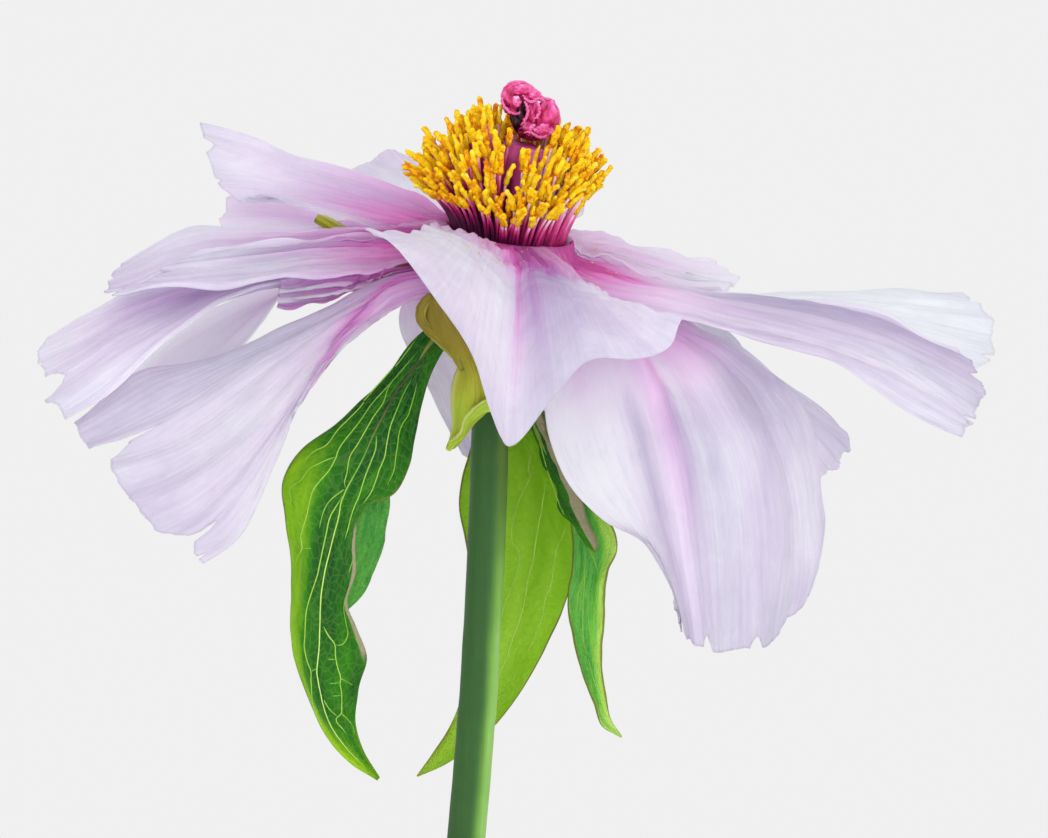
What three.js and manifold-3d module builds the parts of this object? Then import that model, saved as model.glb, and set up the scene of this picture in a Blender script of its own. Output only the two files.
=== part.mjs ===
// A tree peony in a bud vase: one open bloom on a cut stem, standing in a plain glazed vase of water.
//
// Millimetres, +Z up, +Y away from the viewer, origin in the middle of the vase's foot.
// Petals, sepals and leaves are thin sheets through a few hand-set points. Those points are given as
// someone sees them who faces the bloom and looks slightly down on it: [right, up, back] in mm, from
// the middle of the bloom. A sheet's rows run from its root to its tip, and each row runs across the
// sheet anticlockwise, as seen from above the bloom.
import * as THREE from "three";
import { mergeVertices } from "three/addons/utils/BufferGeometryUtils.js";
import Module from "manifold-3d";

const wasm = await Module();
wasm.setup();

// ---- Driving dimensions ----

const GAP = 0.3; // between pieces that touch

const VASE_HEIGHT = 133;
const VASE_FOOT_RADIUS = 27;
const VASE_BODY_RADIUS = 37;
const VASE_BODY_HEIGHT = 44; // where the body is widest
const VASE_NECK_RADIUS = 10.2;
const VASE_NECK_HEIGHT = 110; // where the neck is slimmest
const VASE_LIP_RADIUS = 12.8;
const VASE_LIP_HEIGHT = 8; // over which the mouth flares
const VASE_WALL = 3.2;
const VASE_FLOOR = 6;
const WATER_LEVEL = 84;

const BLOOM_RIGHT = 12.3; // the bloom's middle, right of the vase's axis
const BLOOM_HEIGHT = 257; // and above the vase's foot
const VIEW_DOWN = THREE.MathUtils.degToRad(5.74); // how far the viewer looks down
const VIEW_DISTANCE = 1164;
const VIEW_RIGHT = 3.2; // the middle of the view, from the bloom's middle
const VIEW_UP = -35.2;
const LEAN_FORWARD = THREE.MathUtils.degToRad(7); // of the bloom's own axis
const LEAN_RIGHT = THREE.MathUtils.degToRad(8);

const STEM_RADIUS = 3.7; // below the bloom
const STEM_FOOT_RADIUS = 3.9; // at the cut end
const RECEPTACLE_RADIUS = 12; // the fleshy disc that carries the petals and stamens
const RECEPTACLE_STEP = 9; // between the points that set the line of the stem under the bloom
const RING_SPACING = 2; // between the three rings of petals, down the receptacle
const PETAL_THICKNESS = 0.7;
const PETAL_ROOT_HALF_ANGLE = THREE.MathUtils.degToRad(22);
const LEAF_THICKNESS = 0.8;
const SEPAL_THICKNESS = 1.1;
const SEPAL_ROOT_HEIGHT = -9.2; // on the receptacle, under the petals
const SEPAL_ROOT_HALF_ANGLE = THREE.MathUtils.degToRad(16);

const STAMEN_ROWS = 4;
const STAMENS_IN_OUTER_ROW = 33;
const STAMEN_RING_RADIUS = 11;
const STAMEN_ROW_STEP = 1.2; // each row stands this much further in
const STAMEN_BASE_HEIGHT = 2.2; // the low ring that the filaments grow from
const OUTER_LEAN = THREE.MathUtils.degToRad(43); // the outer row leans out, the inner one stands up
const INNER_LEAN = THREE.MathUtils.degToRad(12);
const OUTER_LENGTH = 15.5;
const INNER_LENGTH = 25;
const FILAMENT_RADIUS = 0.42;
const ANTHER_RADIUS = 0.92;
const ANTHER_LENGTH = 5.6;

const CARPEL_RADIUS = 5.2;
const CARPEL_HEIGHT = 20;
const CREST_COUNT = 5;
const CREST_THICKNESS = 1.3;

// ---- Colours ----

const COLOURS = {
  petal: { color: 0xe9e2f0, roughness: 0.6 },
  leaf: { color: 0x4f8f1f, roughness: 0.5 },
  sepal: { color: 0x8f8f22, roughness: 0.55 },
  stem: { color: 0x3f6b2c, roughness: 0.45 },
  stamen: { color: 0xf0bc0c, roughness: 0.7 },
  carpel: { color: 0xb23a86, roughness: 0.5 },
  stigma: { color: 0xd03a7c, roughness: 0.5 },
  vase: { color: 0xe9e7e1, roughness: 0.25 },
  water: { color: 0xcfe0e4, roughness: 0.05 },
};

const flower = new THREE.Group();

function add(name, finish, geometry) {
  const mesh = new THREE.Mesh(geometry, new THREE.MeshStandardMaterial(COLOURS[finish]));
  mesh.name = name;
  flower.add(mesh);
}

// ---- Places ----

// What is nearer looks larger, so a point is drawn in towards the middle of the view by its nearness.
function seen([right, up, back]) {
  const shrink = 1 + back / VIEW_DISTANCE;
  const across = VIEW_RIGHT + (right - VIEW_RIGHT) * shrink;
  const rise = VIEW_UP + (up - VIEW_UP) * shrink;
  const height = (rise - back * Math.sin(VIEW_DOWN)) / Math.cos(VIEW_DOWN);
  return new THREE.Vector3(BLOOM_RIGHT + across, back, BLOOM_HEIGHT + height);
}

const bloomFrame = new THREE.Matrix4()
  .makeRotationFromEuler(new THREE.Euler(LEAN_FORWARD, LEAN_RIGHT, 0))
  .setPosition(BLOOM_RIGHT, 0, BLOOM_HEIGHT);

// A point of the leaning bloom, by its radius from the bloom's axis, its azimuth (0 right, 90 back)
// and its height over the top of the receptacle.
function onBloom(radius, azimuth, height) {
  const point = new THREE.Vector3(radius * Math.cos(azimuth), radius * Math.sin(azimuth), height);
  return point.applyMatrix4(bloomFrame);
}

// ---- Solids ----

function toManifold(geometry) {
  const bare = new THREE.BufferGeometry();
  bare.setAttribute("position", geometry.getAttribute("position"));
  bare.setIndex(geometry.index);
  const merged = mergeVertices(bare, 1e-4);
  const vertProperties = new Float32Array(merged.attributes.position.array);
  const triVerts = new Uint32Array(merged.index.array);
  return new wasm.Manifold(new wasm.Mesh({ numProp: 3, vertProperties, triVerts }));
}

function fromManifold(solid) {
  const mesh = solid.getMesh();
  const geometry = new THREE.BufferGeometry();
  geometry.setAttribute("position", new THREE.BufferAttribute(mesh.vertProperties, 3));
  geometry.setIndex(new THREE.BufferAttribute(mesh.triVerts, 1));
  return geometry;
}

// Several closed shapes that overlap, as one body.
function fused(geometries) {
  return fromManifold(wasm.Manifold.union(geometries.map(toManifold)));
}

// A round rod along a curve, closed at both ends. radiusAt(t, angle) is its radius at t, from 0 to 1
// along the curve, and stops are the values of t where it has a ring of corners.
function rod(curve, stops, sides, radiusAt) {
  const rings = stops.length - 1;
  const geometry = new THREE.CylinderGeometry(1, 1, 1, sides, rings);
  const position = geometry.getAttribute("position");
  const corner = new THREE.Vector3();
  for (let i = 0; i < position.count; i++) {
    corner.fromBufferAttribute(position, i);
    const t = stops[Math.round((0.5 + corner.y) * rings)];
    const tangent = curve.getTangent(t);
    const side = new THREE.Vector3(0, 1, 0).cross(tangent).normalize();
    const over = side.clone().cross(tangent);
    const angle = Math.atan2(corner.z, corner.x);
    const reach = Math.hypot(corner.x, corner.z) * radiusAt(t, angle);
    corner.copy(curve.getPoint(t));
    corner.addScaledVector(side, reach * Math.cos(angle));
    corner.addScaledVector(over, reach * Math.sin(angle));
    position.setXYZ(i, corner.x, corner.y, corner.z);
  }
  return geometry;
}

// A smooth surface through a net of points: at(u, v) with u from root to tip and v across.
function surfaceThrough(net) {
  const curve = (points) => new THREE.CatmullRomCurve3(points, false, "catmullrom", 0.5);
  const lines = net[0].map((_, column) => curve(net.map((row) => row[column])));
  return (u, v) => curve(lines.map((line) => line.getPoint(u))).getPoint(v);
}

// The normal at each point of a grid of points, rows by columns.
function gridNormals(grid) {
  return grid.map((row, i) =>
    row.map((_, j) => {
      const along = grid[Math.min(i + 1, grid.length - 1)][j].clone();
      along.sub(grid[Math.max(i - 1, 0)][j]);
      const across = row[Math.min(j + 1, row.length - 1)].clone();
      across.sub(row[Math.max(j - 1, 0)]);
      return along.cross(across).normalize();
    }),
  );
}

// A sheet of even thickness through the net. ruffle(u, v) lifts it off the net along its normal, and
// reach(v) says how far towards the tip it goes at v, which cuts the tip's outline.
function sheet(net, { rows, columns, thickness, ruffle = () => 0, reach = () => 1 }) {
  const at = surfaceThrough(net);
  const grid = [];
  for (let i = 0; i <= rows; i++) {
    const row = [];
    for (let j = 0; j <= columns; j++) {
      const v = j / columns;
      row.push(at((i / rows) * reach(v), v));
    }
    grid.push(row);
  }
  const flat = gridNormals(grid);
  grid.forEach((row, i) => row.forEach((p, j) => {
    p.addScaledVector(flat[i][j], ruffle(i / rows, j / columns));
  }));
  const normals = gridNormals(grid);
  const plane = new THREE.PlaneGeometry(1, 1, columns, rows);
  const half = plane.getAttribute("position").count;
  const corners = new Float32Array(half * 6);
  grid.flat().forEach((p, k) => {
    const normal = normals.flat()[k];
    p.clone().addScaledVector(normal, thickness / 2).toArray(corners, k * 3);
    p.clone().addScaledVector(normal, -thickness / 2).toArray(corners, (half + k) * 3);
  });
  const index = [];
  const face = plane.index.array;
  for (let k = 0; k < face.length; k += 3) {
    index.push(face[k], face[k + 1], face[k + 2]);
    index.push(half + face[k], half + face[k + 2], half + face[k + 1]);
  }
  const rim = [];
  for (let j = 0; j < columns; j++) rim.push(j);
  for (let i = 0; i < rows; i++) rim.push(i * (columns + 1) + columns);
  for (let j = columns; j > 0; j--) rim.push(rows * (columns + 1) + j);
  for (let i = rows; i > 0; i--) rim.push(i * (columns + 1));
  rim.forEach((a, k) => {
    const b = rim[(k + 1) % rim.length];
    index.push(a, b, half + a);
    index.push(b, half + b, half + a);
  });
  const geometry = new THREE.BufferGeometry();
  geometry.setAttribute("position", new THREE.BufferAttribute(corners, 3));
  geometry.setIndex(index);
  return geometry;
}

// ---- Petals ----

// ring is the petal's place down the receptacle, 0 at the top, and root its azimuth there in degrees.
// ruffle is the height of the waves at its margin, waves their number, and scallop the depth of the
// bays in its outline, as a share of its length.
const PETALS = {
  petal_front: {
    ring: 0, root: 265, ruffle: 0.5, waves: 2, scallop: 0.02,
    rows: [
      [[-15, 3, -13], [-8, 0.5, -20], [1, -4, -26], [8, -5, -24], [15, -8, -17]],
      [[-22, 2, -18], [-11, -3, -32], [0.5, -18, -42], [11, -13, -38], [26, -13, -30]],
      [[-28.5, 1.5, -24], [-15, -9.5, -42], [-0.5, -40, -52], [14, -25, -50], [34, -17.5, -40]],
    ],
  },
  petal_low_right: {
    ring: 1, root: 298, ruffle: 0.9, waves: 3, scallop: 0.05,
    rows: [
      [[8, -12, -20], [13, -11.5, -22], [18, -12.5, -20], [23, -13.5, -14], [27, -14.5, -8]],
      [[7.5, -31, -28], [17, -26, -32], [28, -25, -31], [36, -20, -24], [43, -19.5, -13]],
      [[11, -45, -34], [22, -45, -40], [33, -44, -42], [46, -38, -36], [61, -35, -16]],
      [[25, -58, -40], [30, -62, -46], [36, -62, -48], [49, -60, -42], [63, -52, -20]],
      [[33, -73, -42], [35.5, -80, -48], [39.5, -82, -50], [48, -83, -46], [58, -74, -30]],
    ],
  },
  petal_right_under: {
    ring: 2, root: 335, ruffle: 0.7, waves: 2, scallop: 0.05,
    rows: [
      [[20, -17, -10], [23, -14, -4], [24, -13, 4]],
      [[42, -27, -12], [44, -22, 0], [43, -18, 12]],
      [[62, -48, -8], [69, -44, 4], [66, -36, 18]],
    ],
  },
  petal_right: {
    ring: 0, root: 340, ruffle: 0.8, waves: 3, scallop: 0.04,
    rows: [
      [[19, -11, -17], [21, -8.5, -9], [22, -6.5, 1]],
      [[40, -16.5, -30], [43, -13, -14], [45, -9.8, 5]],
      [[66, -24.5, -40], [69, -19, -18], [67, -12, 6]],
      [[90, -37.5, -38], [96, -30, -20], [84, -18.5, 2]],
    ],
  },
  petal_far_right: {
    ring: 1, root: 0, ruffle: 0.8, waves: 2, scallop: 0.04,
    rows: [
      [[24, -10, -1], [25, -9, 6], [24, -8.6, 13]],
      [[50, -13, 0], [51, -11.5, 14], [50, -11, 28]],
      [[74, -19, 2], [76, -14, 22], [74, -9.5, 42]],
      [[92, -28, 6], [98, -20, 26], [90, -9.8, 46]],
    ],
  },
  petal_back_right: {
    ring: 0, root: 37, ruffle: 0.6, waves: 2, scallop: 0.06,
    rows: [
      [[19, -4.5, 4], [20, -1.5, 13], [16, 1.5, 24]],
      [[31, -8, 12], [33, -5, 28], [29, -1.5, 42]],
      [[44, -9.5, 20], [46, -7.5, 40], [39, -3.8, 60]],
    ],
  },
  petal_back: {
    ring: 0, root: 95, ruffle: 0.8, waves: 2, scallop: 0.04,
    rows: [
      [[9, 1.5, 20], [-3, 3, 26], [-13, 4, 21]],
      [[15, 6, 40], [-6, 9, 46], [-20, 10, 41]],
      [[14, 12, 62], [-10, 17.5, 72], [-33, 15, 58]],
    ],
  },
  petal_upper_left: {
    ring: 0, root: 150, ruffle: 0.6, waves: 2, scallop: 0.05,
    rows: [
      [[-18, 9, 22], [-20, 6, 15], [-22, 3.5, 9]],
      [[-38, 15.5, 42], [-38, 10, 27], [-37, 5.5, 13]],
      [[-61, 23, 62], [-59, 15, 42], [-54, 7.5, 22]],
    ],
  },
  petal_left_upper: {
    ring: 0, root: 203, ruffle: 0.4, waves: 2, scallop: 0.04,
    rows: [
      [[-23, 2.5, 7], [-24, 1.5, 0], [-24, 0.5, -7]],
      [[-45, 3, 11], [-46, 0.5, 3], [-46, -1, -13]],
      [[-63, 2.7, 20], [-64, -1, 3], [-63, -3.5, -16]],
      [[-70, 1, 20], [-77, -4.5, 2], [-80, -9, -12]],
    ],
  },
  petal_left_ribbon: {
    ring: 1, root: 170, ruffle: 0.5, waves: 2, scallop: 0.03,
    rows: [
      [[-22, -1.5, 4], [-24, -2.5, -4], [-22, -4.2, -12]],
      [[-42, -2.6, 6], [-42, -4.6, -6], [-40, -6.6, -18]],
      [[-59, -4.8, 8], [-58, -6.8, -7], [-57, -8.6, -22]],
      [[-70, -6.5, 4], [-72, -8, -8], [-79, -10, -20]],
    ],
  },
  petal_left_tip: {
    ring: 2, root: 203, ruffle: 0.7, waves: 3, scallop: 0.05,
    rows: [
      [[-21, -6.3, -1.5], [-22, -7, -5], [-22, -7.6, -8]],
      [[-48, -6.5, 8], [-50, -8, -2], [-50, -9, -12]],
      [[-70, -9, 10], [-72, -14, -6], [-67, -18.5, -22]],
      [[-84, -15, 8], [-95, -24, -12], [-90, -34.5, -28]],
    ],
  },
  petal_left_under: {
    ring: 2, root: 158, ruffle: 0.6, waves: 2, scallop: 0.04,
    rows: [
      [[-21, -7.5, 9.5], [-23, -8.5, 5], [-23, -9.5, 0]],
      [[-44, -9, 24], [-46, -12, 10], [-44, -13, -2]],
      [[-64, -15, 32], [-61, -20, 12], [-54, -21, -4]],
      [[-80, -26, 28], [-78, -32, 10], [-70, -31, -2]],
    ],
  },
  petal_left_behind: {
    ring: 1, root: 122, ruffle: 0.6, waves: 2, scallop: 0.05,
    rows: [
      [[-15, 2, 26], [-19, 1.5, 20], [-21.5, 1, 15.5]],
      [[-34, 3.5, 46], [-35, 2.5, 34], [-36, 1.5, 21]],
      [[-52, 11, 58], [-56, 5, 42], [-58, -1, 24]],
    ],
  },
  petal_low_left: {
    ring: 2, root: 250, ruffle: 0.7, waves: 3, scallop: 0.06,
    rows: [
      [[-21, -6.3, -12], [-21.5, -7.8, -14.5], [-21, -9.3, -16.5], [-19.5, -10.5, -17.5], [-17, -11, -17]],
      [[-40, -15, -12], [-41, -18, -18], [-40.5, -21.5, -23], [-38.5, -24, -26], [-36, -26.5, -27]],
      [[-61, -23, -12], [-61, -30, -21], [-58, -38, -29], [-52, -42, -34], [-46, -43, -36]],
      [[-85, -34, -12], [-82, -42, -22], [-79, -52, -32], [-70, -60, -40], [-60.5, -64.5, -45]],
    ],
  },
  petal_back_hanging: {
    ring: 2, root: 105, ruffle: 0.6, waves: 2, scallop: 0.04,
    rows: [
      [[8, -9, 22], [-4, -8, 26], [-15, -9, 21]],
      [[14, -22, 33], [-3, -21, 38], [-22, -15, 32]],
      [[9, -38, 38], [-2, -38, 42], [-15, -31, 37]],
      [[3, -46, 40], [-3, -47, 42], [-9, -42.5, 40]],
    ],
  },
  petal_back_right_low: {
    ring: 2, root: 45, ruffle: 0.8, waves: 2, scallop: 0.05,
    rows: [
      [[22, -11, 10], [18, -9, 18], [11, -8, 23]],
      [[44, -19, 16], [35, -15, 36], [20, -15, 44]],
      [[50, -36, 22], [43, -35, 46], [22, -31, 56]],
    ],
  },
  petal_back_low: {
    ring: 1, root: 74, ruffle: 0.8, waves: 3, scallop: 0.04,
    rows: [
      [[15, -4, 22], [6, -2.5, 27], [-4, -2, 27]],
      [[29, -5, 42], [9, -1, 52], [-13, 0, 48]],
      [[33, -7, 66], [10, -3, 80], [-18, -2, 72]],
    ],
  },
};

// The receptacle's radius by its height below the top, down to where it is all stem.
const RECEPTACLE_PROFILE = [
  [-22, STEM_RADIUS],
  [-18, STEM_RADIUS + 0.5],
  [-14.5, STEM_RADIUS + 2.1],
  [-11.5, STEM_RADIUS + 4.7],
  [-9, RECEPTACLE_RADIUS - 1.4],
  [-7, RECEPTACLE_RADIUS - 0.4],
  [0, RECEPTACLE_RADIUS],
];

function receptacleRadius(height) {
  const k = RECEPTACLE_PROFILE.findIndex(([top]) => top >= height - 1e-6);
  if (k === 0) return STEM_RADIUS;
  const [low, from] = RECEPTACLE_PROFILE[k - 1];
  const [high, to] = RECEPTACLE_PROFILE[k];
  return THREE.MathUtils.lerp(from, to, (height - low) / (high - low));
}

function rootRow({ ring, root, rows }) {
  const count = rows[0].length;
  const height = -(ring + 0.75) * RING_SPACING;
  const radius = receptacleRadius(height) + 1.5 * GAP;
  return rows[0].map((_, column) => {
    const turn = (column / (count - 1) - 0.5) * 2 * PETAL_ROOT_HALF_ANGLE;
    return onBloom(radius, THREE.MathUtils.degToRad(root) + turn, height);
  });
}

function makePetal(petal) {
  const net = [rootRow(petal), ...petal.rows.map((row) => row.map(seen))];
  const phase = THREE.MathUtils.degToRad(petal.root) * 3;
  return sheet(net, {
    rows: 8,
    columns: petal.rows[0].length === 5 ? 10 : 8,
    thickness: PETAL_THICKNESS,
    ruffle: (u, v) => petal.ruffle * u ** 2 * Math.sin(2 * Math.PI * petal.waves * v + phase),
    reach: (v) => 1 - petal.scallop * (0.5 + 0.5 * Math.sin(phase + 19 * v)),
  });
}

for (const [name, petal] of Object.entries(PETALS)) add(name, "petal", makePetal(petal));

// ---- Sepals ----

// root is the sepal's azimuth on the receptacle in degrees.
const SEPALS = {
  sepal_front_left: {
    root: 238,
    rows: [
      [[-16.5, -13, -15.5], [-14.3, -12.3, -18], [-11.5, -12.5, -20]],
      [[-17, -17, -15], [-12.5, -16.5, -19], [-8.5, -17, -20]],
      [[-9.5, -24.5, -15], [-8, -24, -18], [-5, -24, -19]],
      [[-11.2, -30, -15], [-7, -30, -17], [-3.2, -30, -17]],
      [[-12, -40, -14], [-11, -39.5, -14], [-9.5, -39, -14]],
    ],
  },
  sepal_left: {
    root: 146,
    rows: [
      [[-15, -5, 16.5], [-17, -5.5, 15], [-18.5, -6, 12.8]],
      [[-28, 0.3, 16], [-29.5, -0.5, 14.5], [-30.5, -1.3, 12.8]],
      [[-38, 5, 15.5], [-38.5, 4.5, 14.5], [-38.5, 4, 13.5]],
    ],
  },
  sepal_right: {
    root: 352,
    rows: [
      [[16.5, -15.5, -7], [18, -14, -2], [17, -14, 4]],
      [[20, -26, -8], [23, -24, -2], [21, -24, 5]],
      [[20, -35, -6], [21, -35.5, -4], [20.5, -35, -2]],
    ],
  },
  sepal_back: {
    root: 95,
    rows: [
      [[5, -14.5, 18], [-2, -14, 20], [-8, -14, 17]],
      [[3, -26, 23], [-4, -25, 25], [-10, -25, 21]],
      [[-3, -35, 25], [-5, -35.5, 25.5], [-7, -35, 25]],
    ],
  },
};

function makeSepal({ root, rows }) {
  const radius = receptacleRadius(SEPAL_ROOT_HEIGHT) + 2 * GAP;
  const rootRows = [0, 3.5].map((out) => [-1, 0, 1].map((side) => {
    const azimuth = THREE.MathUtils.degToRad(root) + side * SEPAL_ROOT_HALF_ANGLE;
    return onBloom(radius + out, azimuth, SEPAL_ROOT_HEIGHT - out / 4);
  }));
  const net = [...rootRows, ...rows.map((row) => row.map(seen))];
  const wave = (u, v) => 0.5 * u * (2 * v - 1) ** 2 * Math.sin(2 * Math.PI * 2.5 * u);
  return sheet(net, { rows: 9, columns: 4, thickness: SEPAL_THICKNESS, ruffle: wave });
}

for (const [name, sepal] of Object.entries(SEPALS)) add(name, "sepal", makeSepal(sepal));

// ---- Leaves ----

// Each row is one margin, the midrib and the other margin. The stalk's root is the first row.
const LEAVES = {
  leaf_left: [
    [[-7.2, -12.5, -4], [-6.8, -14, -4.4], [-6.4, -15.5, -4]],
    [[-16.8, -17.3, -8], [-14.8, -19, -9], [-12.8, -21, -8.5]],
    [[-27, -30, -10], [-22, -31, -13], [-17.2, -31, -11]],
    [[-38.5, -39.5, -14], [-27, -39.5, -18], [-18.7, -39, -14]],
    [[-45.2, -50.5, -17], [-32.5, -50, -21], [-24, -51.5, -20]],
    [[-43.3, -63, -17], [-36, -62, -22], [-30.5, -62, -24]],
    [[-43, -76, -16], [-38.3, -76, -21], [-31.5, -75, -18]],
    [[-40.5, -91, -14], [-37.3, -90, -18], [-29.5, -86, -14]],
    [[-33, -103.5, -11], [-31.5, -101, -13], [-29.5, -99, -11]],
    [[-27, -107.8, -8], [-26.4, -107.2, -8.5], [-25.8, -106.6, -8]],
  ],
  leaf_back: [
    [[-1.1, -21, 6.9], [-2.5, -21, 7.1], [-3.9, -21, 6.9]],
    [[5, -35, 11], [0, -34, 13], [-5, -34, 10]],
    [[10.5, -47, 14], [2.5, -47, 16], [-9, -47, 13]],
    [[13.6, -58, 15], [3, -58, 17], [-9.3, -57, 14]],
    [[11.5, -72, 13], [1, -72, 16], [-8, -72, 14]],
    [[4.5, -86, 12], [-3, -86, 14], [-8.5, -86, 13]],
    [[-4.5, -98, 12], [-9, -97, 12.5], [-11.5, -96, 12]],
    [[-17.2, -107.4, 11], [-18, -106.8, 11], [-18.4, -106.2, 11]],
  ],
  leaf_folded: [
    [[2, -24, -1.6], [2.2, -24, 0], [2, -24, 1.6]],
    [[7, -36.5, -5], [6, -38, 0], [5, -38.5, 3]],
    [[12.5, -47, -7], [10.5, -48, -1], [9, -48, 3.5]],
    [[15, -53, -7], [12, -54, -2], [10.2, -53.5, 3]],
    [[18.4, -60.6, -4], [17.5, -61.3, -3], [16.6, -61.8, -2]],
  ],
  leaf_right: [
    [[1.3, -29, 3.4], [0.1, -30, 4.2], [-1.1, -31, 4.4]],
    [[12.5, -39, 7], [10, -40, 8.5], [7.5, -41, 7.5]],
    [[21.6, -57.5, 6], [17, -54, 9.5], [13, -55, 7]],
    [[19.6, -68, 6], [16, -68, 9], [12.7, -68, 6.5]],
    [[18.6, -81, 6], [16, -81, 8], [13.5, -81, 6]],
    [[20, -92.5, 5], [18.8, -93, 6], [17.8, -93, 5]],
    [[22.9, -98.4, 4], [22.4, -99, 4], [21.8, -99.2, 4]],
  ],
};

// The side lobe of the left leaf, which shows behind its waved margin.
const LEFT_LOBE = [
  [[-30, -40, -15.5], [-27, -39, -17], [-24, -39, -17]],
  [[-30, -49, -15], [-27, -49, -14], [-23.5, -48, -13]],
  [[-32, -61, -14], [-28.5, -61, -11.5], [-25.3, -61, -10.5]],
  [[-33.8, -73, -14], [-33, -73.4, -13.5], [-32, -73, -13]],
];

function makeLeaf(rows, steps) {
  const net = rows.map((row) => row.map(seen));
  const wave = (u, v) => 0.8 * Math.sin(Math.PI * u) * (2 * v - 1) ** 2 * Math.sin(2 * Math.PI * 3.5 * u);
  return sheet(net, { rows: steps, columns: 4, thickness: LEAF_THICKNESS, ruffle: wave });
}

// The midrib is thick at the leaf's root, where it is its stalk, and fades before the tip.
function makeMidrib(rows) {
  const line = new THREE.CatmullRomCurve3(rows.map((row) => seen(row[1])), false, "catmullrom");
  const stops = [0, 0.12, 0.25, 0.4, 0.6, 0.8];
  return rod(line, stops, 5, (t) => 1.4 - 1.1 * t);
}

for (const [name, rows] of Object.entries(LEAVES)) {
  const pieces = [makeLeaf(rows, 11), makeMidrib(rows)];
  if (name === "leaf_left") pieces.push(makeLeaf(LEFT_LOBE, 5));
  add(name, "leaf", fused(pieces));
}

// ---- Stem and receptacle ----

// The stem stands on the vase's floor, leans on its mouth and turns up into the leaning bloom.
const lipLow = VASE_HEIGHT - VASE_LIP_HEIGHT;
const stemFoot = new THREE.Vector3(-7, 0, VASE_FLOOR + 0.6);
const stemAtLip = new THREE.Vector3(VASE_NECK_RADIUS - VASE_WALL - STEM_FOOT_RADIUS - GAP, 0, lipLow);
const STEM_LINE = [[-7, -103, 0], [-5.8, -88, 0], [-4.6, -67, 0], [-3.9, -50, 0], [-3.4, -34, 0]];
const stemPoints = [
  stemFoot,
  stemFoot.clone().lerp(stemAtLip, 0.5),
  stemAtLip,
  ...STEM_LINE.map(seen),
  onBloom(0, 0, -2 * RECEPTACLE_STEP),
  onBloom(0, 0, -RECEPTACLE_STEP),
  onBloom(0, 0, 0),
];
const stemCurve = new THREE.CatmullRomCurve3(stemPoints, false, "catmullrom");
const stemEnd = stemPoints.length - 1;

// The stem thins slowly upwards, then swells into the receptacle.
function stemRadius(t) {
  const place = t * stemEnd;
  const height = (place - stemEnd) * RECEPTACLE_STEP;
  if (height > RECEPTACLE_PROFILE[0][0]) return receptacleRadius(Math.min(height, 0));
  return THREE.MathUtils.lerp(STEM_FOOT_RADIUS, STEM_RADIUS, place / stemEnd);
}

const stemStops = [0, 1, 2, 2.5, 3, 3.5, 4, 5, 6, 7, 7.4];
RECEPTACLE_PROFILE.forEach(([height]) => stemStops.push(stemEnd + height / RECEPTACLE_STEP));
add("stem", "stem", rod(stemCurve, stemStops.map((stop) => stop / stemEnd), 18, stemRadius));

// ---- Stamens ----

// Numbers between 0 and 1 that look random and are the same every time.
function scatter(k) {
  const x = Math.sin(k * 127.1 + 11.7) * 43758.5453;
  return x - Math.floor(x);
}

// One stamen: a slim filament that bends outwards and ends in a long, thick anther.
function makeStamen(radius, azimuth, lean, length, k) {
  const out = new THREE.Vector3(Math.cos(azimuth), Math.sin(azimuth), 0);
  const side = new THREE.Vector3(-out.y, out.x, 0);
  const points = [0, 0.25, 0.5, 0.75, 1].map((t) => {
    const angle = lean * (0.35 + 0.65 * t);
    const point = out.clone().multiplyScalar(radius + length * t * Math.sin(angle));
    point.addScaledVector(side, (scatter(k + 0.5) - 0.5) * 3 * t);
    point.z = 1 + length * t * Math.cos(angle);
    return point.applyMatrix4(bloomFrame);
  });
  const anther = 1 - ANTHER_LENGTH / length;
  const radii = new Map([
    [0, 1.3 * FILAMENT_RADIUS],
    [anther * 0.5, FILAMENT_RADIUS],
    [anther, FILAMENT_RADIUS],
    [anther + 0.04, ANTHER_RADIUS],
    [1, 0.55 * ANTHER_RADIUS],
  ]);
  return rod(new THREE.CatmullRomCurve3(points), [...radii.keys()], 3, (t) => radii.get(t));
}

function makeStamens() {
  const inner = STAMEN_RING_RADIUS - STAMEN_ROWS * STAMEN_ROW_STEP;
  const outline = [
    [inner, GAP], [STAMEN_RING_RADIUS + 0.4, GAP],
    [STAMEN_RING_RADIUS, STAMEN_BASE_HEIGHT], [inner, STAMEN_BASE_HEIGHT], [inner, GAP],
  ];
  const ring = new THREE.LatheGeometry(outline.map(([x, y]) => new THREE.Vector2(x, y)), 36);
  ring.rotateX(Math.PI / 2).applyMatrix4(bloomFrame);
  const pieces = [ring];
  for (let row = 0; row < STAMEN_ROWS; row++) {
    const count = STAMENS_IN_OUTER_ROW - 4 * row;
    const inwards = row / (STAMEN_ROWS - 1);
    for (let i = 0; i < count; i++) {
      const k = row * 100 + i;
      const azimuth = ((i + 0.5 * (row % 2) + 0.3 * (scatter(k) - 0.5)) / count) * 2 * Math.PI;
      const lean = THREE.MathUtils.lerp(OUTER_LEAN, INNER_LEAN, inwards) + 0.2 * (scatter(k + 7) - 0.5);
      const length = THREE.MathUtils.lerp(OUTER_LENGTH, INNER_LENGTH, inwards) + 4 * (scatter(k + 3) - 0.5);
      const radius = STAMEN_RING_RADIUS - 0.5 - row * STAMEN_ROW_STEP;
      pieces.push(makeStamen(radius, azimuth, lean, length, k));
    }
  }
  return fused(pieces);
}

add("stamens", "stamen", makeStamens());

// ---- Pistil ----

// The carpels stand together as a five-lobed column that leans a little to the right.
const CARPEL_LINE = [[0, 0, 2 * GAP], [0, 0, 7], [0.3, -0.2, 14], [0.9, -0.4, CARPEL_HEIGHT]];
const carpelCurve = new THREE.CatmullRomCurve3(
  CARPEL_LINE.map(([x, y, z]) => new THREE.Vector3(x, y, z).applyMatrix4(bloomFrame)),
);

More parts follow.
